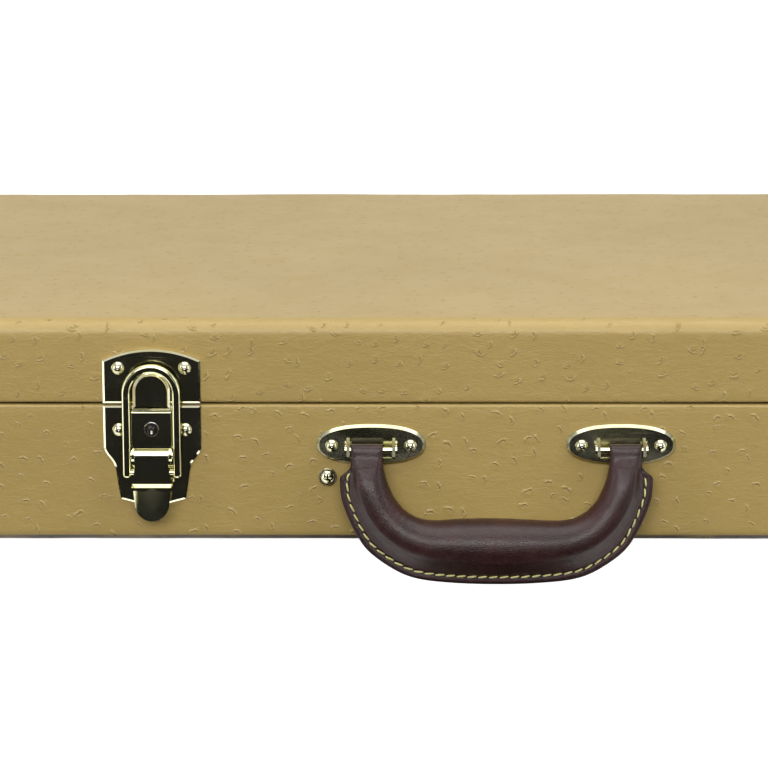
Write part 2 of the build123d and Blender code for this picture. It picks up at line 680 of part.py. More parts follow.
def make_headstock_surround():
    outline = RectangleRounded(POCKET_X1 - POCKET_X0, POCKET_W, 28.0)
    pocket = Pos((POCKET_X0 + POCKET_X1) / 2, 0, 40) * extrude(outline, 60, both=True)
    surround = pad(X_LOW - 1, HEAD_X1, Y_LOW - 1, Y_HIGH + 1)
    return surround - pocket - bar(HEAD_X1 - 40, HEAD_X1 + 1, -HALF_NECK, HALF_NECK, 0, 90)


def make_neck_cradle():
    half_w = HALF_NECK - 0.6
    cradle = bar(CRADLE_X - 20, CRADLE_X + 20, -half_w, half_w, FOAM_FLOOR + FIT, 52.0)
    return cradle - Pos(CRADLE_X, 0, 64.0) * Rot(0, 90, 0) * Cylinder(31.0, 60)


parts["floor_pad"] = block(PAD_IN, FLOOR_Z, FOAM_FLOOR) - bar(
    COMP_X0 - PAD_GAP, COMP_X1 + PAD_GAP, Y_LOW - 5, WALL_Y1 + PAD_GAP, 0, 30)
parts["compartment_floor_pad"] = bar(
    COMP_X0 + PARTITION_T + PAD_GAP, COMP_X1 - PARTITION_T - PAD_GAP,
    Y_LOW, WALL_Y0 - PAD_GAP, FLOOR_Z, 9.5)
body_surround = pad(BODY_X0, X_HIGH + 1, Y_LOW - 1, Y_HIGH + 1)
parts["body_surround_pad"] = body_surround - body_cavity()
parts["neck_rear_pad"] = pad(HEAD_X1 + PAD_GAP, BODY_X0 - PAD_GAP, HALF_NECK, Y_HIGH + 1)
parts["neck_front_pad"] = pad(COMP_X1 + PAD_GAP, BODY_X0 - PAD_GAP, Y_LOW - 1, -HALF_NECK)
parts["headstock_surround_pad"] = make_headstock_surround()
parts["headstock_front_pad"] = pad(HEAD_X1 + PAD_GAP, COMP_X0 - PAD_GAP, Y_LOW - 1, -HALF_NECK)
parts["neck_cradle"] = make_neck_cradle()

# ---------------------------------------------------------------- shells
WOOD_IN = SKIN + GLUE      # outer face of the covering to the outer face of the wood
SPLIT = 0.02               # gap between a panel and its frame


def base_block(inset, z0, z1, bottom_r, rim_r):
    rounded = block(inset, z0, z1)
    rounded = fillet(low_edges(rounded), bottom_r)
    return fillet(high_edges(rounded), rim_r)


def lid_block(inset, z0, z1, top_r, rim_r):
    rounded = block(inset, z0, z1)
    rounded = fillet(high_edges(rounded), top_r)
    return fillet(low_edges(rounded), rim_r)


def base_wood_block(inset):
    return base_block(inset, inset, BASE_TOP - inset, BOTTOM_EDGE_R - SKIN, WOOD_RIM_R)


def lid_wood_block(inset):
    return lid_block(inset, LID_LOW + inset, HEIGHT - inset, TOP_EDGE_R - SKIN, WOOD_RIM_R)


# the last block opens the covering inside its turned-over rim
base_skin = base_block(0, 0, BASE_TOP, BOTTOM_EDGE_R, RIM_EDGE_R)
base_skin = base_skin - base_wood_block(SKIN) - block(WALL_IN, 30, BASE_TOP + 5)
base_wood = base_wood_block(WOOD_IN) - block(WALL_IN, WALL_IN, BASE_TOP + 5)
base_wood = cut(base_wood, base_holes)
parts["base_covering"] = cut(base_skin, base_holes)
parts["base_bottom_panel"] = base_wood & slab(-10, WALL_IN)
parts["base_frame"] = base_wood & slab(WALL_IN + SPLIT, 200)

lid_skin = lid_block(0, LID_LOW, HEIGHT, TOP_EDGE_R, RIM_EDGE_R)
lid_skin = lid_skin - lid_wood_block(SKIN) - block(WALL_IN, LID_LOW - 5, 80)
lid_wood = lid_wood_block(WOOD_IN) - block(WALL_IN, LID_LOW - 5, LID_PANEL_Z)
lid_wood = cut(lid_wood, lid_holes)
parts["lid_covering"] = cut(lid_skin, lid_holes)
parts["lid_top_panel"] = lid_wood & slab(LID_PANEL_Z, 300)
parts["lid_frame"] = lid_wood & slab(0, LID_PANEL_Z - SPLIT)


def make_rim_strip():
    """Strip inside the base rim with a tongue that stands up into the lid."""
    inside = block(WALL_IN + RIM_STRIP, 30, 100)
    strip = block(WALL_IN + FIT, 38.0, BASE_TOP - 0.6) - inside
    tongue = block(WALL_IN + 0.8, BASE_TOP - 2.0, BASE_TOP + RIM_STRIP_UP) - inside
    tongue = fillet(top_face(tongue).edges(), 0.7)
    # no tongue along the hinge side
    tongue = tongue - bar(-600, 600, BACK - 60, BACK + 10, 0, 200)
    return strip + tongue


def make_lid_side_lining():
    lining = block(WALL_IN + FIT, BASE_TOP + RIM_STRIP_UP + 2.0, LID_PANEL_Z - FIT)
    lining = lining - block(WALL_IN + 4.0, 0, 200)
    return lining & slab(0, LID_PAD_Z - FIT)


parts["base_rim_strip"] = make_rim_strip()
parts["lid_pad"] = block(WALL_IN + FIT, LID_PAD_Z, LID_PANEL_Z - FIT)
parts["lid_side_lining"] = make_lid_side_lining()

# ---------------------------------------------------------------- files
os.makedirs("parts", exist_ok=True)
for name, shape in parts.items():
    solids = shape.solids()
    shape = solids[0] if len(solids) == 1 else Compound(children=list(solids))
    export_step(shape, os.path.join("parts", name + ".step"))
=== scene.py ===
# Hard case for a long-necked instrument, closed. The length runs along X with the body cavity
# towards +X, the front with handle and latches faces -Y, and the base stands on z = 0 with
# the lid above it. Shapes are worked out in millimetres and stored in metres.
import math

import bpy
import numpy as np
from mathutils import Matrix, Vector

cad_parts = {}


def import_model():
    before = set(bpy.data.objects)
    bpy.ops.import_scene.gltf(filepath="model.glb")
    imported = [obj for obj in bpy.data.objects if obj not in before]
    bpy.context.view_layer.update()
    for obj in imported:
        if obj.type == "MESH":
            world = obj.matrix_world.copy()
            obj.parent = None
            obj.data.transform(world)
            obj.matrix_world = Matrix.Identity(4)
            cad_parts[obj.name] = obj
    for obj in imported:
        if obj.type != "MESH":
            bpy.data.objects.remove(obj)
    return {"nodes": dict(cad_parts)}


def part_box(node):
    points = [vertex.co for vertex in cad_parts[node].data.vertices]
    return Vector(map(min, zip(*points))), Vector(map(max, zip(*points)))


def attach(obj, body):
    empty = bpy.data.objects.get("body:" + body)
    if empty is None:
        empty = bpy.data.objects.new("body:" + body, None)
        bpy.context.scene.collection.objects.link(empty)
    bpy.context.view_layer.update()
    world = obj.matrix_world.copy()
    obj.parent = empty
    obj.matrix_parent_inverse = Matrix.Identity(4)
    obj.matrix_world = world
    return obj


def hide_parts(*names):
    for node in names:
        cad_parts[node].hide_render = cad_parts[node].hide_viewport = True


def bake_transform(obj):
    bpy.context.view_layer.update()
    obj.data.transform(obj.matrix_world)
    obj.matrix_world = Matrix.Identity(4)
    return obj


MM = 0.001

# ---------------------------------------------------------------- sizes shared with the CAD, mm
LENGTH, WIDTH, HEIGHT, CORNER_R = 1040.0, 350.0, 104.2, 38.0
SEAM_Z, SEAM_GAP = 65.2, 0.5
TOP_EDGE_R, BOTTOM_EDGE_R, RIM_EDGE_R = 7.0, 5.0, 1.4
WALL_IN = 6.0                                   # wall thickness
FRONT = -WIDTH / 2
HANDLE_X, HANDLE_Z, HANDLE_PIN_OUT = 38.4, 44.9, 6.4
HANDLE_TILT = 9.5                               # degrees, as it hangs at rest
FOAM_TOP, HALF_NECK = 60.0, 41.0
LID_PAD_Z = 85.0

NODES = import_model()["nodes"]
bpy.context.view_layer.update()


# ---------------------------------------------------------------- mesh helpers
def shade_smooth(mesh):
    mesh.polygons.foreach_set("use_smooth", [True] * len(mesh.polygons))


def new_mesh(name, verts, faces, mat, scale=MM, smooth=True):
    mesh = bpy.data.meshes.new(name)
    points = (np.asarray(verts, float) * scale).tolist()
    mesh.from_pydata(points, [], [list(map(int, face)) for face in faces])
    mesh.update()
    ob = bpy.data.objects.new(name, mesh)
    bpy.context.scene.collection.objects.link(ob)
    if smooth:
        shade_smooth(mesh)
    mesh.materials.append(mat)
    return ob


def grid_faces(nu, nv, wrap_u=False, wrap_v=False, flip=False):
    """Quads over a grid stored with v fastest."""
    faces = []
    for i in range(nu if wrap_u else nu - 1):
        for j in range(nv if wrap_v else nv - 1):
            here = i * nv + j
            next_u = ((i + 1) % nu) * nv + j
            both = ((i + 1) % nu) * nv + (j + 1) % nv
            next_v = i * nv + (j + 1) % nv
            faces.append((here, next_v, both, next_u) if flip else (here, next_u, both, next_v))
    return faces


def hash3(i, j, k, seed):
    """Repeatable value from 0 to 1 for each lattice point."""
    h = (i * 374761393 + j * 668265263 + k * 2147483647 + seed * 1274126177) & 0xFFFFFFFF
    h = ((h ^ (h >> 13)) * 1274126177) & 0xFFFFFFFF
    h = (h ^ (h >> 16)) & 0xFFFFFFFF
    return h.astype(np.float64) / 4294967295.0


def noise(points, size, seed):
    """Smooth value noise, -1 to 1, over points with cells of the given size."""
    place = np.asarray(points, float) / size + 1000.0
    cell = np.floor(place).astype(np.int64)
    t = place - cell
    t = t * t * t * (t * (6 * t - 15) + 10)
    total = 0
    for dx in (0, 1):
        for dy in (0, 1):
            for dz in (0, 1):
                weight = t[:, 0] if dx else 1 - t[:, 0]
                weight = weight * (t[:, 1] if dy else 1 - t[:, 1])
                weight = weight * (t[:, 2] if dz else 1 - t[:, 2])
                corner = hash3(cell[:, 0] + dx, cell[:, 1] + dy, cell[:, 2] + dz, seed)
                total = total + weight * corner
    return total * 2 - 1


def run_length(points):
    """Distance along a polyline to each of its points."""
    steps = np.linalg.norm(np.diff(points, axis=0), axis=1)
    return np.concatenate([[0], np.cumsum(steps)])


def catmull(points, count):
    """count points on a smooth curve, spaced evenly by length in the first two columns."""
    p = np.asarray(points, float)
    last = len(p) - 1
    per_span = 24
    dense = []
    for i in range(last):
        p0, p1, p2, p3 = p[max(i - 1, 0)], p[i], p[i + 1], p[min(i + 2, last)]
        for step in range(per_span):
            t = step / per_span
            dense.append(0.5 * ((2 * p1) + (-p0 + p2) * t + (2 * p0 - 5 * p1 + 4 * p2 - p3) * t * t
                                + (-p0 + 3 * p1 - 3 * p2 + p3) * t ** 3))
    dense.append(p[-1])
    dense = np.array(dense)
    along = run_length(dense[:, :2])
    want = np.linspace(0, along[-1], count)
    return np.stack([np.interp(want, along, column) for column in dense.T], 1)


def tube(path, radius, sides, closed=False):
    """Vertices and faces of a round tube along a path that is never vertical."""
    path = np.asarray(path, float)
    n = len(path)
    radius = np.broadcast_to(np.asarray(radius, float), (n,))
    if closed:
        tangent = np.roll(path, -1, 0) - np.roll(path, 1, 0)
    else:
        tangent = np.gradient(path, axis=0)
    tangent /= np.linalg.norm(tangent, axis=1)[:, None]
    side = np.cross(tangent, [0.0, 0.0, 1.0])
    side /= np.linalg.norm(side, axis=1)[:, None]
    normal = np.cross(side, tangent)
    angle = np.linspace(0, 2 * math.pi, sides, endpoint=False)
    spokes = (np.cos(angle)[None, :, None] * side[:, None, :]
              + np.sin(angle)[None, :, None] * normal[:, None, :])
    verts = (path[:, None, :] + spokes * radius[:, None, None]).reshape(-1, 3)
    faces = grid_faces(n, sides, wrap_u=closed, wrap_v=True)
    if not closed:
        faces.append(tuple(range(sides - 1, -1, -1)))
        faces.append(tuple((n - 1) * sides + k for k in range(sides)))
    return verts, faces


def join_lists(pieces):
    """One vertex array and face list from several."""
    all_verts, all_faces, base = [], [], 0
    for verts, faces in pieces:
        all_verts.append(verts)
        all_faces += [tuple(base + k for k in face) for face in faces]
        base += len(verts)
    return np.concatenate(all_verts), all_faces


def read_verts(mesh, what="co"):
    """Vertex places, or normals, as rows of three."""
    values = np.empty(len(mesh.vertices) * 3, np.float64)
    mesh.vertices.foreach_get(what, values)
    return values.reshape(-1, 3)


def set_co(ob, co):
    ob.data.vertices.foreach_set("co", np.asarray(co, np.float32).ravel())
    ob.data.update()


def vec_attr(ob, name, values):
    attribute = ob.data.attributes.new(name, "FLOAT_VECTOR", "POINT")
    attribute.data.foreach_set("vector", np.asarray(values, np.float32).ravel())


def float_attr(ob, name, values):
    attribute = ob.data.attributes.new(name, "FLOAT", "POINT")
    attribute.data.foreach_set("value", np.asarray(values, np.float32).ravel())


def modify(ob, kind, **settings):
    modifier = ob.modifiers.new(kind.lower(), kind)
    for key, value in settings.items():
        setattr(modifier, key, value)
    return modifier


def apply_all(ob):
    """Bakes the modifiers into a new, smooth-shaded mesh."""
    depsgraph = bpy.context.evaluated_depsgraph_get()
    mesh = bpy.data.meshes.new_from_object(ob.evaluated_get(depsgraph))
    ob.modifiers.clear()
    old = ob.data
    ob.data = mesh
    if old.users == 0:
        bpy.data.meshes.remove(old)
    shade_smooth(mesh)


def register(ob, body, slot, *nodes):
    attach(ob, body)
    if nodes:
        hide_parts(*nodes)


# ---------------------------------------------------------------- shader helpers
class Tree:
    """A node tree with short calls for the nodes used here."""

    def __init__(self, tree):
        self.tree = tree
        tree.nodes.clear()

    def put(self, socket, value):
        if hasattr(value, "is_output"):
            self.tree.links.new(value, socket)
        elif isinstance(value, tuple) and len(value) == 3 and socket.type == "RGBA":
            socket.default_value = (*value, 1.0)
        else:
            socket.default_value = value

    def node(self, kind, inputs=None, **props):
        node = self.tree.nodes.new(kind)
        for key, value in props.items():
            setattr(node, key, value)
        for key, value in (inputs or {}).items():
            self.put(node.inputs[key], value)
        return node

    def math(self, op, *values, clamp=False):
        inputs = dict(enumerate(values))
        return self.node("ShaderNodeMath", inputs, operation=op, use_clamp=clamp).outputs[0]

    def mul(self, a, by):
        return self.math("MULTIPLY", a, by)

    def add(self, a, b):
        return self.math("ADD", a, b)

    def madd(self, a, by, plus, clamp=False):
        return self.math("MULTIPLY_ADD", a, by, plus, clamp=clamp)

    def weighted_sum(self, first, *rest):
        """Sum of (value, weight) pairs."""
        total = self.mul(first[0], by=first[1])
        for value, weight in rest:
            total = self.madd(value, by=weight, plus=total)
        return total

    def ramp(self, value, span, to=(0.0, 1.0)):
        """Smooth step that carries span onto to."""
        inputs = {"Value": value, "From Min": span[0], "From Max": span[1],
                  "To Min": to[0], "To Max": to[1]}
        return self.node("ShaderNodeMapRange", inputs, interpolation_type="SMOOTHSTEP",
                         clamp=True).outputs[0]


class Mat(Tree):
    """A material round one Principled shader."""

    def __init__(self, name):
        self.material = bpy.data.materials.new(name)
        self.material.use_nodes = True
        super().__init__(self.material.node_tree)
        output = self.node("ShaderNodeOutputMaterial")
        self.shader = self.node("ShaderNodeBsdfPrincipled")
        self.put(output.inputs[0], self.shader.outputs[0])

    def finish(self, **inputs):
        """Sets the shader's inputs, underscores standing for spaces, and returns the material."""
        for key, value in inputs.items():
            self.put(self.shader.inputs[key.replace("_", " ")], value)
        return self.material

    def coord(self):
        return self.node("ShaderNodeTexCoord").outputs["Object"]

    def attr(self, name, out="Vector"):
        return self.node("ShaderNodeAttribute", attribute_name=name).outputs[out]

    def pointiness(self, span):
        geometry = self.node("ShaderNodeNewGeometry")
        return self.ramp(geometry.outputs["Pointiness"], span=span)

    def vmath(self, op, *values, scale=None, out=0):
        inputs = dict(enumerate(values))
        if scale is not None:
            inputs["Scale"] = scale
        return self.node("ShaderNodeVectorMath", inputs, operation=op).outputs[out]

    def mapping(self, vector, scale, rot=(0, 0, 0)):
        inputs = {"Vector": vector, "Scale": scale, "Rotation": rot}
        return self.node("ShaderNodeMapping", inputs).outputs[0]

    def noise(self, vector, scale, detail=2.0, rough=0.5, distortion=0.0, out=0):
        inputs = {"Vector": vector, "Scale": scale, "Detail": detail, "Roughness": rough,
                  "Distortion": distortion}
        return self.node("ShaderNodeTexNoise", inputs, noise_dimensions="3D").outputs[out]

    def noise_colour(self, vector, scale, detail):
        return self.noise(vector, scale, detail, out="Color")

    def wave(self, vector, scale, distortion, detail, direction):
        inputs = {"Vector": vector, "Scale": scale, "Distortion": distortion, "Detail": detail}
        return self.node("ShaderNodeTexWave", inputs, wave_type="BANDS",
                         bands_direction=direction).outputs[1]

    def cell_edges(self, vector, scale, dims, width):
        """0 on the borders of small cells, 1 inside them."""
        edge = self.node("ShaderNodeTexVoronoi", {"Vector": vector, "Scale": scale},
                         voronoi_dimensions=dims, feature="DISTANCE_TO_EDGE").outputs[0]
        return self.ramp(edge, span=(0.0, width))

    def creases(self, field, width):
        """0 along the lines where a noise field crosses its middle, 1 away from them."""
        distance = self.math("ABSOLUTE", self.math("SUBTRACT", field, 0.5))
        return self.ramp(distance, span=(0.0, width))

    def mix(self, fac, base, over):
        inputs = {0: fac, 6: base, 7: over}
        return self.node("ShaderNodeMix", inputs, data_type="RGBA").outputs[2]

    def bump(self, height, distance, strength):
        inputs = {"Height": height, "Distance": distance, "Strength": strength}
        return self.node("ShaderNodeBump", inputs).outputs[0]


def dim(colour, factor):
    return tuple(c * factor for c in colour)


# ---------------------------------------------------------------- materials
def vinyl_material():
    m = Mat("embossed_vinyl")
    flat = m.attr("fold")                       # unfolded surface, metres
    obj = m.coord()
    skin = flat
    for scale, detail, shift in ((130.0, 1.0, 0.0026), (620.0, 2.0, 0.0017)):
        warp = m.noise_colour(flat, scale=scale, detail=detail)
        warp = m.vmath("SUBTRACT", warp, (0.5, 0.5, 0.5))
        skin = m.vmath("ADD", skin, m.vmath("SCALE", warp, scale=shift))

    # quill marks: one raised comma to a cell, each turned and sized a little differently
    cell = m.node("ShaderNodeTexVoronoi", {"Vector": skin, "Scale": 92.0, "Randomness": 0.95},
                  voronoi_dimensions="2D", feature="F1")
    chance = m.node("ShaderNodeSeparateColor", {"Color": cell.outputs["Color"]}).outputs
    local = m.vmath("SUBTRACT", skin, cell.outputs["Position"])
    angle = m.madd(chance[0], by=2.1, plus=-1.7)
    mark = m.node("ShaderNodeVectorRotate", {"Vector": local, "Angle": angle},
                  rotation_type="Z_AXIS").outputs[0]
    mark = m.vmath("SCALE", mark, scale=1000.0)                 # millimetres in the mark
    size = m.madd(chance[1], by=0.45, plus=0.55)
    size_xyz = m.node("ShaderNodeCombineXYZ", {"X": size, "Y": m.mul(size, by=0.72), "Z": 1.0})
    mark = m.vmath("DIVIDE", mark, size_xyz.outputs[0])
    mark = m.vmath("MULTIPLY", mark, (1, 1, 0))
    radius = m.vmath("LENGTH", mark, out="Value")
    xyz = m.node("ShaderNodeSeparateXYZ", {"Vector": mark}).outputs
    side = m.ramp(xyz[1], span=(0.35, -1.1))                    # open towards +y
    far = m.ramp(xyz[0], span=(2.6, 0.6))                       # thins towards +x
    off_ridge = m.math("ABSOLUTE", m.math("SUBTRACT", radius, 2.15))
    off_pit = m.math("ABSOLUTE", m.math("SUBTRACT", radius, 1.25))
    keep = m.ramp(chance[2], span=(0.08, 0.16))                 # a few cells stay bare
    crescent = m.mul(m.mul(m.ramp(off_ridge, span=(1.25, 0.0)), side), m.mul(far, keep))
    pit = m.mul(m.mul(m.ramp(off_pit, span=(0.85, 0.1)), side), m.mul(far, keep))
    mound = m.mul(m.ramp(radius, span=(4.2, 1.4)), keep)

    # skin between the marks: soft drawn creases and fine pores
    drawn = m.mapping(skin, scale=(0.42, 1.5, 1.0), rot=(0, 0, 0.10))
    drawn = m.noise(drawn, scale=230.0, detail=3.0, rough=0.55, distortion=0.9)
    crease = m.creases(drawn, width=0.11)
    rolling = m.mapping(skin, scale=(0.6, 1.25, 1.0))
    rolling = m.noise(rolling, scale=120.0, detail=3.0, rough=0.55, distortion=0.5)
    pores = m.cell_edges(skin, scale=1050.0, dims="2D", width=0.22)
    height = m.weighted_sum((crescent, 0.62), (pit, -0.42), (mound, 0.20), (crease, 0.085),
                            (rolling, 0.55), (pores, 0.04))
    normal = m.bump(height, distance=0.00042, strength=0.95)

    big = m.noise(obj, scale=7.0)
    mid = m.noise(obj, scale=42.0, detail=3.0)
    col = m.mix(m.ramp(big, span=(0.3, 0.7)),
                base=(0.352, 0.249, 0.076), over=(0.388, 0.276, 0.088))
    col = m.mix(m.ramp(mid, span=(0.35, 0.75), to=(0.0, 0.18)), col, over=(0.320, 0.216, 0.070))
    # painted shade: darker in the pits beside the crescents and along the creases
    col = m.mix(m.mul(pit, by=0.46), col, over=(0.190, 0.118, 0.032))
    col = m.mix(m.mul(m.math("SUBTRACT", 1.0, crease), by=0.06), col, over=(0.20, 0.13, 0.040))
    # painted highlight: lighter on the raised crescents
    col = m.mix(m.mul(crescent, by=0.22), col, over=(0.50, 0.39, 0.18))
    # painted shade: darker band along the bottom edge, broken into patches
    z = m.node("ShaderNodeSeparateXYZ", {"Vector": obj}).outputs[2]
    bottom_edge_shade = m.mul(m.ramp(z, span=(0.0034, 0.0024)), m.ramp(z, span=(0.0001, 0.0006)))
    patches = m.noise(obj, scale=60.0, detail=3.0)
    bottom_edge_shade = m.mul(bottom_edge_shade, m.ramp(patches, span=(0.25, 0.6), to=(0.55, 0.95)))
    col = m.mix(bottom_edge_shade, col, over=(0.018, 0.013, 0.009))
    rough = m.add(m.ramp(mid, span=(0.3, 0.7), to=(0.385, 0.425)), m.mul(pit, by=0.10))
    return m.finish(Base_Color=col, Roughness=rough, Normal=normal, IOR=1.46,
                    Specular_IOR_Level=0.5)


def gold_material(name, base, rough, relief=0.00006):
    """Plated metal with hairline scratches and paler edges; relief is the bump depth in metres."""
    m = Mat(name)
    p = m.coord()
    cloud = m.noise(p, scale=55.0, detail=3.0)
    fine = m.noise(p, scale=900.0, detail=4.0, rough=0.7)
    stretched = m.mapping(p, scale=(26.0, 900.0, 900.0), rot=(0.2, 0.1, 0.5))
    scratch = m.ramp(m.noise(stretched, scale=1.0, rough=0.6), span=(0.66, 0.72))
    gloss = m.ramp(cloud, span=(0.3, 0.75), to=(rough * 0.75, rough * 1.5))
    gloss = m.add(gloss, m.mul(scratch, by=0.10))
    duller = tuple(c * k for c, k in zip(base, (0.93, 0.91, 0.86)))
    col = m.mix(m.ramp(cloud, span=(0.35, 0.7)), base, over=duller)
    edge = m.pointiness(span=(0.52, 0.62))
    col = m.mix(m.mul(edge, by=0.35), col, over=(0.92, 0.88, 0.72))
    height = m.add(m.mul(fine, by=0.3), m.mul(cloud, by=0.7))
    normal = m.bump(height, distance=relief, strength=0.5)
    return m.finish(Base_Color=col, Metallic=1.0, Roughness=gloss, Normal=normal)


def steel_material(name, base):
    m = Mat(name)
    p = m.coord()
    cloud = m.noise(p, scale=90.0, detail=3.0)
    streaks = m.noise(m.mapping(p, scale=(900.0, 60.0, 60.0)), scale=1.0)
    return m.finish(Base_Color=m.mix(cloud, base, over=dim(base, 0.85)), Metallic=1.0,
                    Roughness=m.ramp(streaks, span=(0.3, 0.7), to=(0.10, 0.22)),
                    Normal=m.bump(streaks, distance=0.00004, strength=0.4))


# near-black washers, brass-coloured on their sharp edges, for the dark ring round the screw heads
def dark_washer_material():
    m = Mat("dark_washer")
    mottle = m.noise(m.coord(), scale=260.0, detail=3.0)
    edge = m.pointiness(span=(0.53, 0.6))
    col = m.mix(m.mul(edge, by=0.6), base=(0.020, 0.018, 0.014), over=(0.40, 0.33, 0.18))
    return m.finish(Base_Color=col, Metallic=0.7,
                    Roughness=m.ramp(mottle, span=(0.3, 0.7), to=(0.16, 0.30)),
                    Normal=m.bump(mottle, distance=0.00005, strength=0.5))


def leather_material(name, deep, light):
    """Grained leather; its mesh carries the attributes grain (metres) and edge (cut edge, 0-1)."""
    m = Mat(name)
    p = m.attr("grain")
    wander = m.vmath("SCALE", m.noise_colour(p, scale=300.0, detail=2.0), scale=0.0012)
    grain = m.cell_edges(m.vmath("ADD", p, wander), scale=900.0, dims="3D", width=0.16)
    fine = m.noise(p, scale=1500.0, detail=3.0, rough=0.6)
    stretched = m.mapping(p, scale=(1.0, 3.2, 3.2))
    wrinkle = m.noise(stretched, scale=150.0, detail=3.0, rough=0.6, distortion=0.8)
    wrinkle = m.creases(wrinkle, width=0.09)
    soft = m.noise(p, scale=60.0)
    height = m.weighted_sum((grain, 0.34), (fine, 0.16), (wrinkle, 0.11), (soft, 0.30))
    normal = m.bump(height, distance=0.00020, strength=0.62)
    col = m.mix(m.ramp(soft, span=(0.3, 0.7)), deep, over=light)
    col = m.mix(m.mul(m.math("SUBTRACT", 1.0, grain), by=0.45), col, over=dim(deep, 0.35))
    rough = m.ramp(m.noise(p, scale=240.0, detail=3.0), span=(0.3, 0.7), to=(0.28, 0.39))
    edge = m.attr("edge", "Fac")
    patches = m.ramp(m.noise(p, scale=420.0), span=(0.35, 0.65), to=(0.75, 1.0))
    col = m.mix(m.mul(edge, patches), col, over=(0.0040, 0.0036, 0.0045))
    rough = m.add(rough, m.mul(edge, by=0.12))
    specular = m.madd(m.attr("edge", "Fac"), by=-0.25, plus=0.31)
    return m.finish(Base_Color=col, Roughness=rough, Normal=normal, Coat_Weight=0.06,
                    Coat_Roughness=0.22, Specular_IOR_Level=specular)


def thread_material():
    m = Mat("waxed_thread")
    twist = m.attr("twist")
    ply = m.wave(twist, scale=1.0, distortion=0.4, detail=1.0, direction="DIAGONAL")
    soil = m.noise(m.coord(), scale=700.0)
    col = m.mix(m.ramp(ply, span=(0.15, 0.8)), base=(0.74, 0.68, 0.18), over=(0.98, 0.95, 0.40))
    col = m.mix(m.ramp(soil, span=(0.4, 0.8), to=(0.0, 0.3)), col, over=(0.62, 0.58, 0.28))
    return m.finish(Base_Color=col, Roughness=0.55, Sheen_Weight=0.3,
                    Normal=m.bump(ply, distance=0.00012, strength=0.9))


def plush_material(name, deep, light):
    m = Mat(name)
    p = m.coord()
    nap = m.noise(m.mapping(p, scale=(1.0, 1.0, 1.0)), scale=1400.0, detail=3.0, rough=0.65)
    tuft = m.noise(p, scale=420.0, detail=3.0, rough=0.6, distortion=0.8)
    brushed = m.mapping(p, scale=(1.0, 0.45, 1.0), rot=(0, 0, 0.6))
    brushed = m.noise(brushed, scale=17.0, detail=3.0, rough=0.55, distortion=1.2)
    crush = m.noise(p, scale=65.0, distortion=0.6)
    tone = m.ramp(brushed, span=(0.34, 0.66))
    tone = m.madd(m.ramp(crush, span=(0.3, 0.7)), by=0.35, plus=m.mul(tone, by=0.65), clamp=True)
    col = m.mix(tone, deep, over=light)
    col = m.mix(m.ramp(nap, span=(0.38, 0.7), to=(0.0, 0.5)), col, over=dim(light, 1.7))
    col = m.mix(m.ramp(tuft, span=(0.55, 0.3), to=(0.0, 0.6)), col, over=dim(deep, 0.4))
    height = m.add(m.mul(nap, by=0.5), m.mul(tuft, by=0.5))
    height = m.madd(crush, by=0.7, plus=height)
    return m.finish(Base_Color=col, Roughness=0.92,
                    Normal=m.bump(height, distance=0.0009, strength=0.85),
                    Sheen_Weight=0.75, Sheen_Roughness=0.38, Sheen_Tint=(0.85, 0.35, 0.40, 1.0),
                    Specular_IOR_Level=0.15)


def wood_material(name, dark, light):
    m = Mat(name)
    p = m.coord()
    grain_scale = (3.0, 46.0, 46.0)             # grain runs along X
    rings = m.mapping(p, scale=grain_scale)
    rings = m.noise(rings, scale=1.0, detail=4.0, rough=0.6, distortion=1.6)
    fibres = m.noise(m.mapping(p, scale=dim(grain_scale, 22)), scale=1.0, rough=0.6)
    ply = m.wave(p, scale=120.0, distortion=1.0, detail=1.0, direction="Z")
    col = m.mix(m.ramp(rings, span=(0.35, 0.68)), dark, over=light)
    col = m.mix(m.ramp(fibres, span=(0.5, 0.75), to=(0.0, 0.35)), col, over=dim(dark, 0.55))
    col = m.mix(m.mul(ply, by=0.10), col, over=dark)
    rough = m.ramp(fibres, span=(0.3, 0.7), to=(0.50, 0.66))
    height = m.add(fibres, m.mul(rings, by=0.6))
    return m.finish(Base_Color=col, Roughness=rough,
                    Normal=m.bump(height, distance=0.00025, strength=0.6))


def woven_material(name, dark, light, threads=1500.0):
    m = Mat(name)
    p = m.attr("weave")
    warp, weft = [m.wave(p, scale=threads / 6.283, distortion=0.25, detail=1.0, direction=axis)
                  for axis in "XY"]
    check = m.node("ShaderNodeTexChecker", {"Vector": p, "Scale": threads / 3.1416}).outputs[1]
    height = m.add(m.mul(warp, check), m.mul(weft, m.math("SUBTRACT", 1.0, check)))
    cloud = m.noise(m.coord(), scale=70.0)
    col = m.mix(m.ramp(height, span=(0.1, 0.8)), dark, over=light)
    col = m.mix(m.ramp(cloud, span=(0.3, 0.7), to=(0.0, 0.35)), col, over=dark)
    return m.finish(Base_Color=col, Roughness=0.85, Sheen_Weight=0.35,
                    Normal=m.bump(height, distance=0.0002, strength=0.8))


def felt_material():
    m = Mat("cord_filling")
    p = m.coord()
    fuzz = m.noise(p, scale=1100.0, detail=3.0)
    cord = m.wave(p, scale=260.0, distortion=2.0, detail=2.0, direction="X")
    return m.finish(Base_Color=m.mix(cord, base=(0.10, 0.085, 0.06), over=(0.20, 0.17, 0.12)),
                    Roughness=0.95,
                    Normal=m.bump(m.add(fuzz, cord), distance=0.0004, strength=0.8))


def stage_material(name, colour):
    """Near-white surface that glows a little by itself."""
    m = Mat(name)
    cloud = m.noise(m.coord(), scale=3.0)
    return m.finish(Base_Color=m.mix(cloud, colour, over=dim(colour, 0.985)), Roughness=0.8,
                    Emission_Color=(1.0, 1.0, 1.0), Emission_Strength=0.93)


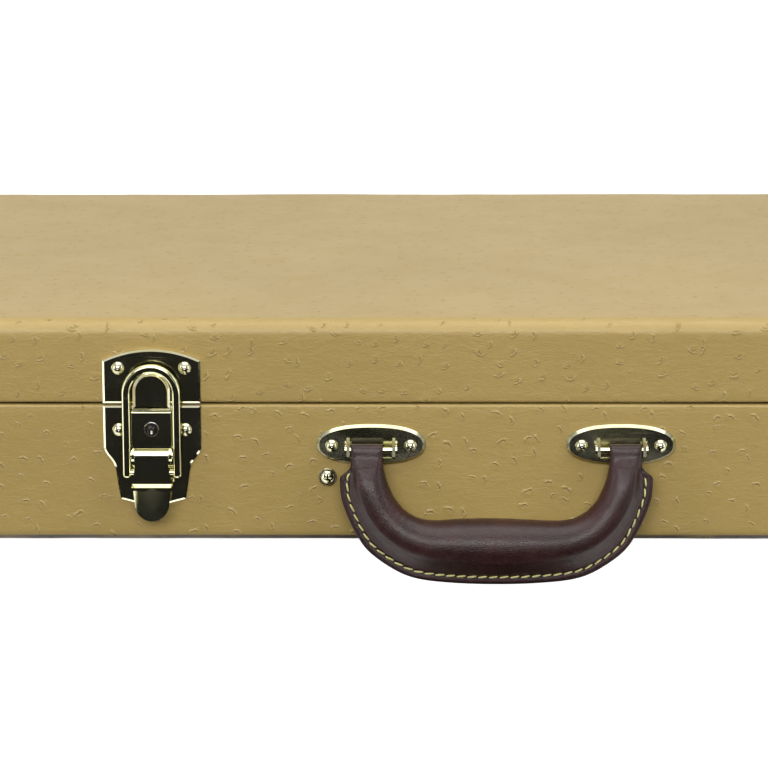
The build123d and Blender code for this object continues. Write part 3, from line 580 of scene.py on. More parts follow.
VINYL = vinyl_material()
GOLD = gold_material("plated_gold", base=(0.68, 0.66, 0.42), rough=0.07)
GOLD_SOFT = gold_material("satin_gold", base=(0.50, 0.49, 0.34), rough=0.13, relief=0.00012)
# painted shade: a darker copy of the satin gold, which dims the reflections on the handle plates
GOLD_DIMMED = gold_material("dimmed_gold", base=(0.33, 0.32, 0.19), rough=0.20, relief=0.00012)
GOLD_HINGE = gold_material("hinge_gold", base=(0.56, 0.42, 0.19), rough=0.27, relief=0.00012)
LOCK = steel_material("lock_steel", base=(0.52, 0.50, 0.45))
DARK_WASHER = dark_washer_material()
LEATHER = leather_material("handle_leather", deep=(0.0180, 0.0046, 0.0043),
                           light=(0.034, 0.0092, 0.0082))
THREAD = thread_material()
PLUSH = plush_material("plush", deep=(0.085, 0.010, 0.016), light=(0.21, 0.028, 0.044))
PLUSH_DARK = plush_material("plush_dark", deep=(0.055, 0.007, 0.012), light=(0.14, 0.019, 0.030))
PLY = wood_material("plywood", dark=(0.36, 0.22, 0.10), light=(0.60, 0.42, 0.22))
RIMWOOD = wood_material("stained_strip", dark=(0.018, 0.009, 0.007), light=(0.045, 0.022, 0.015))
TAPE = woven_material("woven_tape", dark=(0.030, 0.005, 0.008), light=(0.11, 0.018, 0.026))
FELT = felt_material()
STRAP = steel_material("spring_steel", base=(0.45, 0.45, 0.47))


# ---------------------------------------------------------------- CAD pieces kept as they are
# edge rounding of the four parts of each latch, mm
LATCH_EDGES = {"strike_plate": 0.22, "base_plate": 0.20, "lever": 0.18, "bail": 0.22}
KEPT_NODES = [
    (GOLD, [f"latch{i}_{part}" for i in range(1, 5) for part in LATCH_EDGES]),
    (GOLD, ["latch_lever_pins", "handle_pins"]),
    (GOLD_SOFT, ["latch_plate_rivets", "latch_strike_rivets", "handle_rivets",
                 "partition_screws", "hinge_base_rivets", "hinge_lid_rivets",
                 "base_spine_feet", "lid_spine_feet"]),
    (GOLD_DIMMED, ["handle_plates"]),
    (GOLD_HINGE, ["hinge_base_leaves", "hinge_lid_leaves", "hinge_pins"]),
    (LOCK, ["lock_plug", "lock_cam"]),
    (STRAP, ["handle_steel_strap"]),
    (FELT, ["handle_core"]),
    (DARK_WASHER, ["partition_cup_washers"]),
    (PLY, ["base_bottom_panel", "base_frame", "lid_top_panel", "lid_frame"]),
    (RIMWOOD, ["base_rim_strip"]),
]
for material, names in KEPT_NODES:
    for name in names:
        slots = NODES[name].data.materials
        slots.clear()
        slots.append(material)


def bevel_edges(ob, width, angle):
    modify(ob, "BEVEL", width=width * MM, segments=2, limit_method="ANGLE",
           angle_limit=math.radians(angle), harden_normals=True)


for name, ob in NODES.items():
    for part, width in LATCH_EDGES.items():
        if name.startswith("latch") and name.endswith(part):
            bevel_edges(ob, width=width, angle=28)
for name in ("handle_plates", "hinge_base_leaves", "hinge_lid_leaves"):
    bevel_edges(NODES[name], width=0.2, angle=30)


# ---------------------------------------------------------------- vinyl over the two shells
# turned-in start of both coverings: (inset, distance from the seam face)
RIM_TURN = [(WALL_IN - 0.2, 0.9), (WALL_IN - 0.2, 0.12), (WALL_IN - 0.5, 0.0), (3.4, 0.0)]
PANEL_STEPS = 25                                # rows from the edge to the middle line
BASE_FOLD_SHIFT = 3000.0                        # keeps the base's emboss unlike the lid's


def ring(inset, nx=250, ny=84, nc=14):
    """Points and outward normals round the outline set in by inset; the count never changes."""
    r = max(CORNER_R - inset, 0.0)
    hx, hy = LENGTH / 2 - inset, WIDTH / 2 - inset
    cx, cy = hx - r, hy - r
    # one side and the corner after it: start, end, side normal, steps, corner centre, angle
    runs = [
        ((-cx, -hy), (cx, -hy), (0, -1), nx, (cx, -cy), -90),
        ((hx, -cy), (hx, cy), (1, 0), ny, (cx, cy), 0),
        ((cx, hy), (-cx, hy), (0, 1), nx, (-cx, cy), 90),
        ((-hx, cy), (-hx, -cy), (-1, 0), ny, (-cx, -cy), 180),
    ]
    points, normals = [], []
    for start, end, side_normal, steps, centre, angle in runs:
        for step in range(steps):
            t = step / steps
            points.append((start[0] * (1 - t) + end[0] * t, start[1] * (1 - t) + end[1] * t))
            normals.append(side_normal)
        for step in range(nc):
            a = math.radians(angle + 90.0 * step / nc)
            points.append((centre[0] + r * math.cos(a), centre[1] + r * math.sin(a)))
            normals.append((math.cos(a), math.sin(a)))
    return np.array(points), np.array(normals)


def edge_arc(r, centre_z, start, end, steps):
    """(inset, z) points round an edge of radius r; angle 0 points outward, 90 up."""
    angles = [math.radians(start + (end - start) * k / steps) for k in range(steps + 1)]
    return [(r - r * math.cos(a), centre_z + r * math.sin(a)) for a in angles]


def shell_profile(seam_z, flat_z, edge_r, wall_steps, edge_steps, sign):
    """(inset, z) rows from inside the seam to the flat panel; sign is 1 upward, -1 downward."""
    rim_z = seam_z + sign * RIM_EDGE_R
    edge_z = flat_z - sign * edge_r
    rows = [(inset, seam_z + sign * rise) for inset, rise in RIM_TURN]
    rows += edge_arc(RIM_EDGE_R, rim_z, -90 * sign, 0, 6)
    rows += [(0.0, rim_z + (edge_z - rim_z) * k / wall_steps) for k in range(1, wall_steps)]
    return rows + edge_arc(edge_r, edge_z, 0, 90 * sign, edge_steps)


def weld_middle(verts, faces, first):
    """Joins coinciding vertices from index first on; returns faces and the vertices kept."""
    seen, weld = {}, np.arange(len(verts))
    for j in range(first, len(verts)):
        weld[j] = seen.setdefault((round(verts[j, 0], 3), round(verts[j, 1], 3)), j)
    used = np.unique(weld)
    index = np.zeros(len(verts), int)
    index[used] = np.arange(len(used))
    welded = []
    for face in faces:
        corners = [int(index[weld[v]]) for v in face]
        corners = [v for k, v in enumerate(corners) if v != corners[k - 1]]
        if len(corners) > 2:
            welded.append(tuple(corners))
    return welded, used


def covering(name, profile, flat_inset, flat_z, sign, swell):
    """Sweeps a profile round the shell and on over the flat panel, as one skin."""
    panel = [(flat_inset + (WIDTH / 2 - flat_inset) * k / PANEL_STEPS, flat_z)
             for k in range(1, PANEL_STEPS + 1)]
    lengths = run_length(np.array(profile))
    flat_points, flat_normals = ring(flat_inset)
    n_ring = len(flat_points)
    zero = np.zeros(n_ring)
    places, fold = [], []
    for k, (inset, z) in enumerate(profile + panel):
        points = ring(inset)[0]
        places.append(np.column_stack([points, np.full(n_ring, z)]))
        if k < len(profile):
            points = flat_points + flat_normals * (lengths[-1] - lengths[k])
        fold.append(np.column_stack([points, zero]))
    verts = np.concatenate(places)
    faces = grid_faces(len(places), n_ring, wrap_v=True, flip=sign > 0)
    # the last ring has closed on the middle line
    faces, used = weld_middle(verts, faces, first=len(verts) - n_ring)
    fold = (np.concatenate(fold) + (0.0 if sign > 0 else BASE_FOLD_SHIFT))[used]
    co = verts[used]
    ob = new_mesh(name, co, faces, VINYL)

    # slight unevenness of hand-laid covering, less on the walls
    normals = read_verts(ob.data, "normal")
    uneven = 0.16 * noise(co, size=55.0, seed=3) + 0.07 * noise(co, size=17.0, seed=5)
    uneven -= 0.10
    uneven[np.abs(normals[:, 2]) < 0.4] *= 0.55
    middle = (np.clip(1 - (np.abs(co[:, 0]) / (LENGTH / 2)) ** 4, 0, 1)
              * np.clip(1 - (np.abs(co[:, 1]) / (WIDTH / 2)) ** 4, 0, 1))
    if swell:
        co[:, 2] += np.where(normals[:, 2] * sign > 0.5, swell * middle * sign, 0.0)
    co += normals * uneven[:, None]
    set_co(ob, co * MM)
    vec_attr(ob, "fold", fold * MM)
    return ob


lid_profile = shell_profile(SEAM_Z + SEAM_GAP / 2, HEIGHT, TOP_EDGE_R,
                            wall_steps=11, edge_steps=10, sign=1)
lid_cover = covering("lid_vinyl", lid_profile, TOP_EDGE_R, HEIGHT, sign=1, swell=0.25)
base_profile = shell_profile(SEAM_Z - SEAM_GAP / 2, 0.0, BOTTOM_EDGE_R,
                             wall_steps=17, edge_steps=8, sign=-1)
base_cover = covering("base_vinyl", base_profile, BOTTOM_EDGE_R, 0.0, sign=-1, swell=0.0)
register(lid_cover, "lid", "vinyl", "lid_covering")
register(base_cover, "base", "vinyl", "base_covering")


# ---------------------------------------------------------------- handle
# left half of the grip, from the left end to the middle:
# x, distance below the pin, half depth in plane, half thickness, roundness power
GRIP = [
    (-59.0, -2.95, 7.35, 0.35, 7.0),
    (-59.0, -2.78, 7.4, 1.5, 7.0),
    (-59.0, -2.1, 7.4, 2.6, 7.0),
    (-59.0, -1.0, 7.4, 3.2, 7.0),
    (-59.0, 0.6, 7.35, 3.5, 6.5),
    (-59.05, 3.2, 7.3, 3.7, 5.0),
    (-59.1, 6.0, 7.4, 4.6, 3.4),
    (-58.9, 9.5, 7.75, 5.9, 2.6),
    (-58.2, 15.5, 8.5, 7.5, 2.15),
    (-56.2, 22.0, 8.9, 8.2, 2.0),
    (-52.6, 28.9, 9.2, 8.5, 2.0),
    (-46.6, 35.6, 9.6, 9.0, 2.0),
    (-38.6, 40.5, 10.2, 9.7, 2.0),
    (-28.8, 43.0, 11.0, 10.6, 2.0),
    (-15.0, 43.7, 12.2, 11.8, 2.0),
    (0.0, 43.8, 12.8, 12.3, 2.0),
]
# left half of the sewn flange's outer edge: x, distance below the pin
FLANGE = [(-66.6, 10.0), (-71.4, 13.1), (-70.6, 22.3), (-67.6, 30.8), (-64.0, 38.0),
          (-57.8, 46.8), (-46.2, 54.9), (-35.1, 59.1), (-18.0, 60.9), (0.0, 61.4)]
# outer part of the flange's section: distance in from its edge, share of its half thickness
FLANGE_LIP = [(0.0, 0.0), (0.12, 0.62), (0.55, 0.97), (1.2, 1.04), (2.6, 0.98), (3.5, 0.86)]
FLANGE_HALF = 1.45                              # half thickness of the flange
N_STATIONS = 300
LIP_POINTS, ROUND_STEPS = 14, 30                # section points up to, and steps round, the grip
ROUND_START = math.radians(56)                  # where the round of the grip begins
PLAIN_STEPS, PLAIN_END = 9, 55.98               # the same part without flange, end in degrees
RIPPLE_PITCH = 4.3

grip = GRIP + [(-x, *rest) for x, *rest in reversed(GRIP[:-1])]
stations = catmull([(x, -below, *size) for x, below, *size in grip], N_STATIONS)
centre_line = stations[:, :2]
depth, thick, power = stations[:, 2:].T
tangent = np.gradient(centre_line, axis=0)
tangent /= np.linalg.norm(tangent, axis=1)[:, None]
# the loft runs down the left arm and up the right one; outward is away from the hand opening
outward = np.column_stack([tangent[:, 1], -tangent[:, 0]])
along_grip = run_length(centre_line)

flange = FLANGE + [(-x, below) for x, below in reversed(FLANGE[:-1])]
flange_line = np.concatenate([np.linspace(flange[0], flange[1], 30),
                              catmull(flange[1:-1], 700),
                              np.linspace(flange[-2], flange[-1], 30)])
flange_line[:, 1] *= -1


def flange_reach(i):
    """Distance from the centre line to the flange's edge at a station, 0 where there is none."""
    offset = flange_line - centre_line[i]
    out = offset @ outward[i]
    near = (np.abs(offset @ tangent[i]) < 1.2) & (out > 0) & (out < 30)
    return float(out[near].max()) if near.any() else 0.0


def superellipse(a, b, p, t):
    x = a * math.copysign(abs(math.cos(t)) ** (2 / p), math.cos(t))
    return x, b * abs(math.sin(t)) ** (2 / p)


def section(a, b, p, edge):
    """Closed (out, across) section: half depth a, half thickness b, power p, flange edge."""
    if edge > a + 0.3:
        tf = FLANGE_HALF * (0.5 + 0.5 * min(1.0, (edge - a) / 2.0))
        foot = a + 0.25 * (edge - a)
        control = [(edge - back, tf * share) for back, share in FLANGE_LIP]
        control += [(min(edge - 4.3, foot + 0.4), tf * 1.05), (foot - 0.6, tf * 1.45 + 0.2),
                    (a * 0.84, b * 0.46), superellipse(a, b, p, ROUND_START)]
        lip = catmull(control, LIP_POINTS)
    else:
        control = np.array([superellipse(a, b, p, math.radians(PLAIN_END * k / PLAIN_STEPS))
                            for k in range(PLAIN_STEPS + 1)])
        want = np.linspace(0, 1, LIP_POINTS)
        have = np.linspace(0, 1, PLAIN_STEPS + 1)
        lip = np.column_stack([np.interp(want, have, column) for column in control.T])
    half = [tuple(point) for point in lip[:-1]]
    for k in range(ROUND_STEPS + 1):
        t = ROUND_START + (math.pi - ROUND_START) * k / ROUND_STEPS
        half.append(superellipse(a, b, p, t))
    return np.array(half + [(x, -y) for x, y in reversed(half[1:-1])])


def handle_to_case(points):
    """(x, up from the pin, out) to the case's frame, hanging at rest, mm."""
    points = np.asarray(points, float)
    t = math.radians(-HANDLE_TILT)
    up = points[:, 1] * math.cos(t) - points[:, 2] * math.sin(t)
    out = points[:, 1] * math.sin(t) + points[:, 2] * math.cos(t)
    return np.column_stack([HANDLE_X + points[:, 0], FRONT - HANDLE_PIN_OUT - out, HANDLE_Z + up])


raw_reach = np.array([flange_reach(i) for i in range(N_STATIONS)])
raw_reach = np.where(raw_reach < depth + 0.25, 0.0, raw_reach)
has_flange = raw_reach > 0
kernel = np.array([1, 2, 3, 2, 1], float)
reach = np.convolve(np.where(has_flange, raw_reach, depth + 0.1), kernel / kernel.sum(),
                    mode="same")
stands_out = reach > depth + 0.4


def leather_cover():
    """Leather lofted over the grip, with its flange."""
    edges = np.where(has_flange | stands_out, reach, 0.0)
    sections = np.array([section(*row) for row in zip(depth, thick, power, edges)])
    n_section = sections.shape[1]
    verts = np.zeros((N_STATIONS, n_section, 3))
    verts[:, :, :2] = centre_line[:, None, :] + outward[:, None, :] * sections[:, :, :1]
    verts[:, :, 2] = sections[:, :, 1]
    cut_edge = np.clip((sections[:, :, 0] - (reach - 0.75)[:, None]) / 0.5, 0, 1)
    cut_edge[~stands_out] = 0.0
    cut_edge = cut_edge.reshape(-1)
    grain = np.zeros_like(verts)
    grain[:, :, 0] = along_grip[:, None]
    grain[:, :, 1] = [run_length(loop) for loop in sections]

    faces = grid_faces(N_STATIONS, n_section, wrap_v=True)
    faces.append(tuple(range(n_section)))
    faces.append(tuple((N_STATIONS - 1) * n_section + k for k in reversed(range(n_section))))
    ob = new_mesh("handle_leather_cover", handle_to_case(verts.reshape(-1, 3)), faces, LEATHER)

    # uneven skin, with ripples on the inner side of both bends
    co = read_verts(ob.data) / MM
    normals = read_verts(ob.data, "normal")
    below_pins = np.repeat(np.clip((-(stations[:, 1]) - 6) / 8, 0, 1), n_section)
    bend = np.repeat(np.exp(-((np.abs(stations[:, 0]) - 50) / 9.0) ** 2), n_section)
    inside = np.clip(-sections[:, :, 0] / depth[:, None], 0, 1).reshape(-1)
    phase = np.repeat(along_grip, n_section) * 2 * math.pi / RIPPLE_PITCH
    ripple = np.sin(phase + 4.5 * noise(co, size=8.0, seed=14))
    uneven = (0.24 * noise(co, size=23.0, seed=11)
              + 0.06 * noise(co * [1.0, 0.6, 0.6], size=9.0, seed=12))
    uneven += 0.055 * bend * inside * (ripple - 0.3)
    uneven *= np.where(cut_edge < 0.01, 1.0, 0.15) * (0.25 + 0.75 * below_pins)
    co += normals * uneven[:, None]
    set_co(ob, co * MM)
    vec_attr(ob, "grain", grain.reshape(-1, 3) * MM)
    float_attr(ob, "edge", cut_edge)
    register(ob, "handle", "handle_leather", "handle_leather")


def handle_stitches():
    """A row of stitches on each face of the flange."""
    pitch, length, from_edge = 4.9, 4.35, 3.4
    radius, lean_across = 0.45, 0.62
    sides, rings = 7, 9
    first = int(np.argmax(reach > depth + 2.6))
    row = slice(first, N_STATIONS - first)
    path = centre_line[row] + outward[row] * (reach[row] - from_edge)[:, None]
    along = run_length(path)
    t = np.linspace(0, 1, rings)
    angle = np.linspace(0, 2 * math.pi, sides, endpoint=False)
    thickness = radius * np.clip(np.sin(math.pi * (0.06 + 0.88 * t)), 0, 1) ** 0.35
    lean = (t - 0.5) * lean_across
    pieces, twist = [], []
    for face in (1, -1):
        z = face * (FLANGE_HALF * 0.86 - 0.40 + 0.66 * np.sin(math.pi * t) ** 0.4)
        for c in range(int(along[-1] / pitch)):
            s = c * pitch + 0.2 + t * length
            x = np.interp(s, along, path[:, 0])
            y = np.interp(s, along, path[:, 1])
            # each stitch leans a little off the line
            tx, ty = np.gradient(x), np.gradient(y)
            step = np.hypot(tx, ty)
            x, y = x - ty / step * lean, y + tx / step * lean
            pieces.append(tube(np.column_stack([x, y, z]), thickness, sides))
            twist.append(np.column_stack([np.repeat(t * 13.0 + c, sides), np.tile(angle, rings),
                                          np.zeros(sides * rings)]))
    verts, faces = join_lists(pieces)
    ob = new_mesh("handle_stitching", handle_to_case(verts), faces, THREAD)
    vec_attr(ob, "twist", np.concatenate(twist))
    register(ob, "handle", "handle_leather")


leather_cover()
handle_stitches()


# ---------------------------------------------------------------- padding
GLUE_DEPTH = 0.004                              # metres from the glued side that stay put
SIDE_CAP = 0.6                                  # largest sideways move of the cloth, mm
# Name after "plush_", CAD node, body it rides on, voxel size, smoothing rounds,
# cloth pressure (None: not simulated), largest rise, material. Sizes in mm.
PADS = [
    ("body_surround", "body_surround_pad", "base", 4.2, 5, 3.0, 2.2, PLUSH),
    ("neck_rear", "neck_rear_pad", "base", 4.4, 5, 3.0, 2.2, PLUSH),
    ("neck_front", "neck_front_pad", "base", 4.0, 5, 3.0, 2.0, PLUSH),
    ("head_surround", "headstock_surround_pad", "base", 4.2, 5, 3.0, 2.2, PLUSH),
    ("head_front", "headstock_front_pad", "base", 3.4, 4, 3.0, 1.5, PLUSH),
    ("cradle", "neck_cradle", "base", 2.6, 5, 3.0, 1.2, PLUSH),
    ("floor", "floor_pad", "base", 4.4, 3, None, 1.0, PLUSH_DARK),
    ("compartment_floor", "compartment_floor_pad", "base", 1.7, 2, None, 0.6, PLUSH_DARK),
    ("partition_outer", "compartment_outer_partition", "base", 1.5, 3, None, 0.4, PLUSH),
    ("partition_inner", "compartment_inner_partition", "base", 1.5, 3, None, 0.4, PLUSH),
    ("neck_wall", "compartment_neck_wall", "base", 1.6, 3, None, 0.4, PLUSH),
    ("lid_pad", "lid_pad", "lid", 4.4, 4, 3.5, 3.0, PLUSH),
    ("lid_side", "lid_side_lining", "lid", 1.7, 2, None, 0.3, PLUSH),
    ("cover", "compartment_cover", "cover", 1.5, 3, None, 0.5, PLUSH),
]
FIRST_PAD_SEED = 21


def inflate(ob, rest, on_lid, pressure, cap):
    """Blows the pad up as cloth from its glued side and returns its new places."""
    if on_lid:
        glued = np.where(rest[:, 2] > rest[:, 2].max() - GLUE_DEPTH)[0]
    else:
        glued = np.where(rest[:, 2] < rest[:, 2].min() + GLUE_DEPTH)[0]
    group = ob.vertex_groups.new(name="glued")
    group.add(glued.tolist(), 1.0, "REPLACE")
    cloth = modify(ob, "CLOTH")
    settings = cloth.settings
    settings.quality = 4
    settings.use_pressure = True
    settings.uniform_pressure_force = pressure
    settings.tension_stiffness = 12
    settings.compression_stiffness = 12
    settings.shear_stiffness = 6
    settings.bending_stiffness = 0.6
    settings.mass = 0.25
    settings.vertex_group_mass = "glued"
    settings.effector_weights.gravity = 0.0
    settings.shrink_min = -0.015
    cloth.point_cache.frame_start = 1
    cloth.point_cache.frame_end = 20
    scene = bpy.context.scene
    for frame in range(1, 15):
        scene.frame_set(frame)
    depsgraph = bpy.context.evaluated_depsgraph_get()
    moved = read_verts(ob.evaluated_get(depsgraph).data)
    ob.modifiers.clear()
    scene.frame_set(1)
    move = moved - rest
    rise = move[:, 2].copy()
    move[:, 2] = 0
    sideways = np.linalg.norm(move, axis=1)
    move *= (np.minimum(sideways, SIDE_CAP * MM) / np.maximum(sideways, 1e-9))[:, None]
    rest = rest + move
    rest[:, 2] += np.sign(rise) * np.minimum(np.abs(rise), cap * MM)
    return rest


def soft_pad(name, node, body, voxel, rounds, pressure, cap, mat, seed):
    """Padded piece from a CAD node: remeshed, eased at its edges, then puffed up."""
    source = NODES[node].data
    faces = [tuple(polygon.vertices) for polygon in source.polygons]
    ob = new_mesh(name, read_verts(source), faces, mat, scale=1.0)
    modify(ob, "REMESH", mode="VOXEL", voxel_size=voxel * MM)
    modify(ob, "SMOOTH", factor=0.5, iterations=rounds)
    apply_all(ob)
    if not ob.data.materials:                   # in case remeshing dropped the material
        ob.data.materials.append(mat)
    co = read_verts(ob.data)
    if pressure is not None:
        co = inflate(ob, co, body == "lid", pressure, cap)
    else:
        puff = cap * 0.3 * MM * (0.5 + 0.5 * noise(co * 1000, size=60.0, seed=seed))
        co = co + read_verts(ob.data, "normal") * puff[:, None]
    set_co(ob, co)
    # lumps of the stuffing under the cloth
    in_mm = co * 1000
    lumps = (0.35 * noise(in_mm, size=34.0, seed=seed)
             + 0.18 * noise(in_mm, size=11.0, seed=seed + 3))
    co = co + read_verts(ob.data, "normal") * (lumps * MM)[:, None]
    set_co(ob, co)
    register(ob, body, "plush", node)


for seed, (name, *pad) in enumerate(PADS, FIRST_PAD_SEED):
    soft_pad("plush_" + name, *pad, seed=seed)


# ---------------------------------------------------------------- piping
# +y half of the body cavity's outline, from the neck to the far end: x, y
CAVITY_HALF = [
    (96.0, HALF_NECK + 3), (104.0, 70.0), (103.0, 104.0), (120.0, 137.0), (163.0, 150.0),
    (212.0, 141.0), (264.0, 131.0), (322.0, 144.0), (378.0, 156.5), (430.0, 152.0),
    (476.0, 117.0), (495.0, 60.0), (498.0, 0.0),
]


def at_height(path, z):
    return np.column_stack([path, np.full(len(path), z)])


def cavity_piping():
    """Piping round the rim of the body cavity."""
    half = catmull(CAVITY_HALF, 150)
    other = half[::-1][1:] * [1, -1]
    path = at_height(np.concatenate([half, other]), FOAM_TOP - 1.2)
    verts, faces = tube(path, radius=1.7, sides=8)
    uneven = noise(verts, size=9.0, seed=41)[:, None] * 0.12
    ob = new_mesh("piping_body_cavity", verts + uneven, faces, PLUSH_DARK)
    register(ob, "base", "plush")


def lid_piping():
    """Closed loop of piping round the lid pad."""
    outline = ring(WALL_IN + 6.5, nx=120, ny=40, nc=10)[0]
    path = at_height(outline, LID_PAD_Z - 0.4)
    verts, faces = tube(path, radius=1.6, sides=8, closed=True)
    ob = new_mesh("piping_lid_pad", verts, faces, PLUSH_DARK)
    register(ob, "lid", "plush")


cavity_piping()
lid_piping()


# ---------------------------------------------------------------- compartment tape and pull tab
# tape's section: (y from the cover's +y edge, z from the cover's top or the wall's top)
TAPE_OVER_COVER = [(-17.0, 0.25), (-12.0, 0.35), (-6.0, 0.35), (-2.0, 0.3), (-0.3, -0.1),
                   (1.3, -1.7)]
TAPE_OVER_WALL = [(3.0, 0.75), (5.4, 0.5), (6.3, -0.6), (6.6, -5.0), (6.6, -12.0)]
TAPE_END_IN = 8                                 # tape ends this far inside the cover's ends


def hinge_tape():
    """A woven strip glued to the wall and to the cover, bending between them."""
    cover_low, cover_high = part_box("compartment_cover")
    edge_y, cover_top = cover_high.y / MM, cover_high.z / MM
    wall_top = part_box("compartment_neck_wall")[1].z / MM
    points = [(edge_y + y, cover_top + z) for y, z in TAPE_OVER_COVER]
    points += [(edge_y + y, wall_top + z) for y, z in TAPE_OVER_WALL]
    profile = catmull(points, 44)
    n_profile, n_x = len(profile), 110
    xs = np.linspace(cover_low.x / MM + TAPE_END_IN, cover_high.x / MM - TAPE_END_IN, n_x)
    along_x = np.repeat(xs, n_profile)
    verts = np.column_stack([along_x, np.tile(profile, (n_x, 1))])
    ob = new_mesh("compartment_tape", verts, grid_faces(n_x, n_profile), TAPE)
    weave = [along_x, np.tile(run_length(profile), n_x), np.zeros(n_x * n_profile)]
    vec_attr(ob, "weave", np.column_stack(weave) * MM)
    modify(ob, "SOLIDIFY", thickness=0.5 * MM, offset=1.0)
    apply_all(ob)
    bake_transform(ob)
    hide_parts("compartment_hinge_tape")


tab_low, tab_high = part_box("compartment_pull_tab")
TAB_X0, TAB_Y0, TAB_Z0 = [v / MM for v in tab_low]
TAB_X1, TAB_Y1, TAB_Z1 = [v / MM for v in tab_high]
TAB_MID_X = (TAB_X0 + TAB_X1) / 2


def pull_tab():
    """Leather tab, rounded at its -y end and humped along its length."""
    n_across, n_along = 22, 40
    round_end = 0.28                            # share of the length taken by the rounded end
    verts, grain, cut_edge = [], [], []
    for i in range(n_across):
        u = i / (n_across - 1) * 2 - 1
        for j in range(n_along):
            t = j / (n_along - 1)
            y = TAB_Y0 + (TAB_Y1 - TAB_Y0) * t
            taper = 1.0
            if t < round_end:
                taper = math.sqrt(max(0.0, 1 - (1 - t / round_end) ** 2))
            x = TAB_MID_X + u * max((TAB_X1 - TAB_X0) / 2 * taper, 0.4)
            z = TAB_Z0 + 0.25 + 1.2 * math.exp(-((t - 0.30) / 0.28) ** 2)
            verts.append((x, y, z))
            grain.append((x, y, 0))
            cut_edge.append(max(0.0, (abs(u) - 0.93) / 0.07))
    ob = new_mesh("compartment_pull", verts, grid_faces(n_across, n_along), LEATHER)
    vec_attr(ob, "grain", np.array(grain) * MM)
    float_attr(ob, "edge", cut_edge)
    modify(ob, "SOLIDIFY", thickness=1.3 * MM, offset=0.0)
    modify(ob, "BEVEL", width=0.25 * MM, segments=2, limit_method="ANGLE")
    apply_all(ob)
    register(ob, "cover", "pull_leather", "compartment_pull_tab")


def pull_stitches():
    """A row of five stitches across the tab near its +y end."""
    count, pitch, length, radius = 5, 3.1, 2.5, 0.32
    sides, rings = 6, 7
    t = np.linspace(0, 1, rings)
    y = np.full(rings, TAB_Y1 - 4.0)
    z = TAB_Z1 - 0.25 + 0.35 * np.sin(math.pi * t)
    thickness = radius * np.sin(math.pi * (0.08 + 0.84 * t)) ** 0.3
    pieces, twist = [], []
    for c in range(count):
        x = TAB_MID_X - 7.0 + c * pitch + t * length
        pieces.append(tube(np.column_stack([x, y, z]), thickness, sides))
        twist.append(np.column_stack([np.repeat(t * 9.0 + c, sides),
                                      np.tile(np.arange(float(sides)), rings),
                                      np.zeros(sides * rings)]))
    verts, faces = join_lists(pieces)
    ob = new_mesh("compartment_pull_stitches", verts, faces, THREAD)
    vec_attr(ob, "twist", np.concatenate(twist))
    register(ob, "cover", "pull_leather")


hinge_tape()
pull_tab()
pull_stitches()


# ---------------------------------------------------------------- stage
FLOOR_Z = -260.0
FLOOR_HALF = 9000
PLINTH_TOP = -0.35
PLINTH_IN = 46                                  # plinth's sides inside the case's, mm
# outline of the card, x and y: a strip under the case that widens in front of it
CARD_OUTLINE = [(-60, 200), (150, 200), (150, -420), (900, -420), (2500, -3600),
                (-2500, -3600), (-900, -420), (-60, -420)]


def rectangle(half_x, half_y, z):
    return [(-half_x, -half_y, z), (half_x, -half_y, z), (half_x, half_y, z), (-half_x, half_y, z)]


def build_stage():
    floor = new_mesh("floor", rectangle(FLOOR_HALF, FLOOR_HALF, FLOOR_Z), [(0, 1, 2, 3)],
                     stage_material("pale_floor", colour=(0.86, 0.86, 0.855)), smooth=False)
    half_x, half_y = LENGTH / 2 - PLINTH_IN, WIDTH / 2 - PLINTH_IN
    verts = rectangle(half_x, half_y, FLOOR_Z) + rectangle(half_x, half_y, PLINTH_TOP)
    faces = [(0, 1, 5, 4), (1, 2, 6, 5), (2, 3, 7, 6), (3, 0, 4, 7), (4, 5, 6, 7)]
    plinth = new_mesh("plinth", verts, faces,
                      stage_material("white_plinth", colour=(0.88, 0.88, 0.875)), smooth=False)
    modify(plinth, "BEVEL", width=0.004, segments=3)
    # dark card just above the floor, seen only in reflections
    card_material = Mat("dark_card").finish(Base_Color=(0.01, 0.01, 0.01), Roughness=1.0,
                                            Specular_IOR_Level=0.0)
    card = new_mesh("reflection_card", [(x, y, FLOOR_Z + 4) for x, y in CARD_OUTLINE],
                    [(0, 7, 2, 1), (7, 6, 5, 4, 3, 2)], card_material, smooth=False)
    plinth.visible_glossy = False
    card.visible_camera = False
    card.visible_diffuse = False
    card.visible_shadow = False
    card.visible_transmission = False
    floor.visible_diffuse = False
    plinth.visible_diffuse = False


build_stage()


# ---------------------------------------------------------------- lights, metres and watts
def area(name, loc, target, size, power):
    light = bpy.data.lights.new(name, "AREA")
    light.shape = "RECTANGLE"
    light.size, light.size_y = size
    light.energy = power
    light.spread = math.pi
    ob = bpy.data.objects.new(name, light)
    bpy.context.scene.collection.objects.link(ob)
    ob.location = loc
    ob.rotation_euler = (Vector(target) - Vector(loc)).to_track_quat("-Z", "Y").to_euler()


area("key_softbox", loc=(0.15, -0.55, 2.1), target=(0.0, 0.0, 0.05), size=(2.6, 1.5), power=39.0)
area("front_fill", loc=(-0.2, -2.6, 1.15), target=(0.0, -0.17, 0.05), size=(2.4, 0.8), power=53.0)
area("left_strip", loc=(-2.0, -1.1, 0.55), target=(-0.1, -0.17, 0.05), size=(0.35, 1.4), power=9.0)
area("right_strip", loc=(2.0, -1.2, 0.6), target=(0.1, -0.17, 0.05), size=(0.35, 1.4), power=9.0)


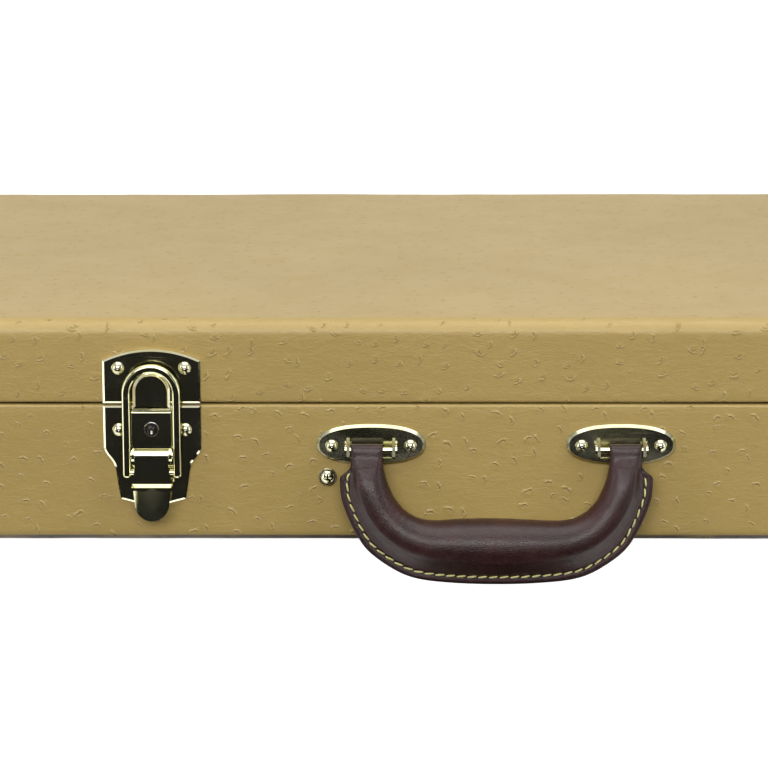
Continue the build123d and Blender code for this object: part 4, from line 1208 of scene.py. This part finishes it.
def build_world():
    """White to the camera; to other rays a room bright above, behind and at both sides."""
    world = bpy.data.worlds.new("studio")
    bpy.context.scene.world = world
    world.use_nodes = True
    w = Tree(world.node_tree)
    rays = w.node("ShaderNodeLightPath").outputs
    generated = w.node("ShaderNodeTexCoord").outputs["Generated"]
    x, y, z = w.node("ShaderNodeSeparateXYZ", {0: generated}).outputs
    above = w.ramp(z, span=(0.18, 0.75))
    behind = w.ramp(y, span=(-0.05, 0.45))
    sides = w.ramp(w.math("ABSOLUTE", x), span=(0.74, 0.93), to=(0.0, 0.85))
    bright = w.math("MAXIMUM", w.math("MAXIMUM", above, sides), behind)
    level = w.ramp(bright, span=(0.0, 1.0), to=(0.05, 0.86))
    # light from the room itself is weaker than its reflection
    weaker = w.madd(rays["Is Diffuse Ray"], by=-0.62, plus=1.0)
    white = (1.0, 1.0, 1.0)
    room = w.node("ShaderNodeBackground", {"Color": white, "Strength": w.mul(level, weaker)})
    backdrop = w.node("ShaderNodeBackground", {"Color": white, "Strength": 1.0})
    shader = w.node("ShaderNodeMixShader", {0: rays["Is Camera Ray"], 1: room.outputs[0],
                                            2: backdrop.outputs[0]})
    w.node("ShaderNodeOutputWorld", {0: shader.outputs[0]})


build_world()


# ---------------------------------------------------------------- camera and view
def build_camera():
    data = bpy.data.cameras.new("camera")
    camera = bpy.data.objects.new("camera", data)
    bpy.context.scene.collection.objects.link(camera)
    data.sensor_width = 36.0
    data.lens = 150.25
    data.clip_start, data.clip_end = 0.05, 60.0
    camera.location = (-0.0004, -1.5999, 0.4025)
    yaw = math.radians(0.5)
    pitch = math.radians(12.964)                # downward
    roll = math.radians(-0.10)
    forward = Vector((-math.sin(yaw) * math.cos(pitch), math.cos(yaw) * math.cos(pitch),
                      -math.sin(pitch)))
    level_right = Vector((math.cos(yaw), math.sin(yaw), 0.0))
    level_up = level_right.cross(forward)
    right = level_right * math.cos(roll) + level_up * math.sin(roll)
    up = -level_right * math.sin(roll) + level_up * math.cos(roll)
    camera.rotation_euler = Matrix((right, up, -forward)).transposed().to_euler()
    bpy.context.scene.camera = camera


view = bpy.context.scene.view_settings
view.view_transform = "Standard"
view.look = "None"
view.exposure = 0.0
build_camera()
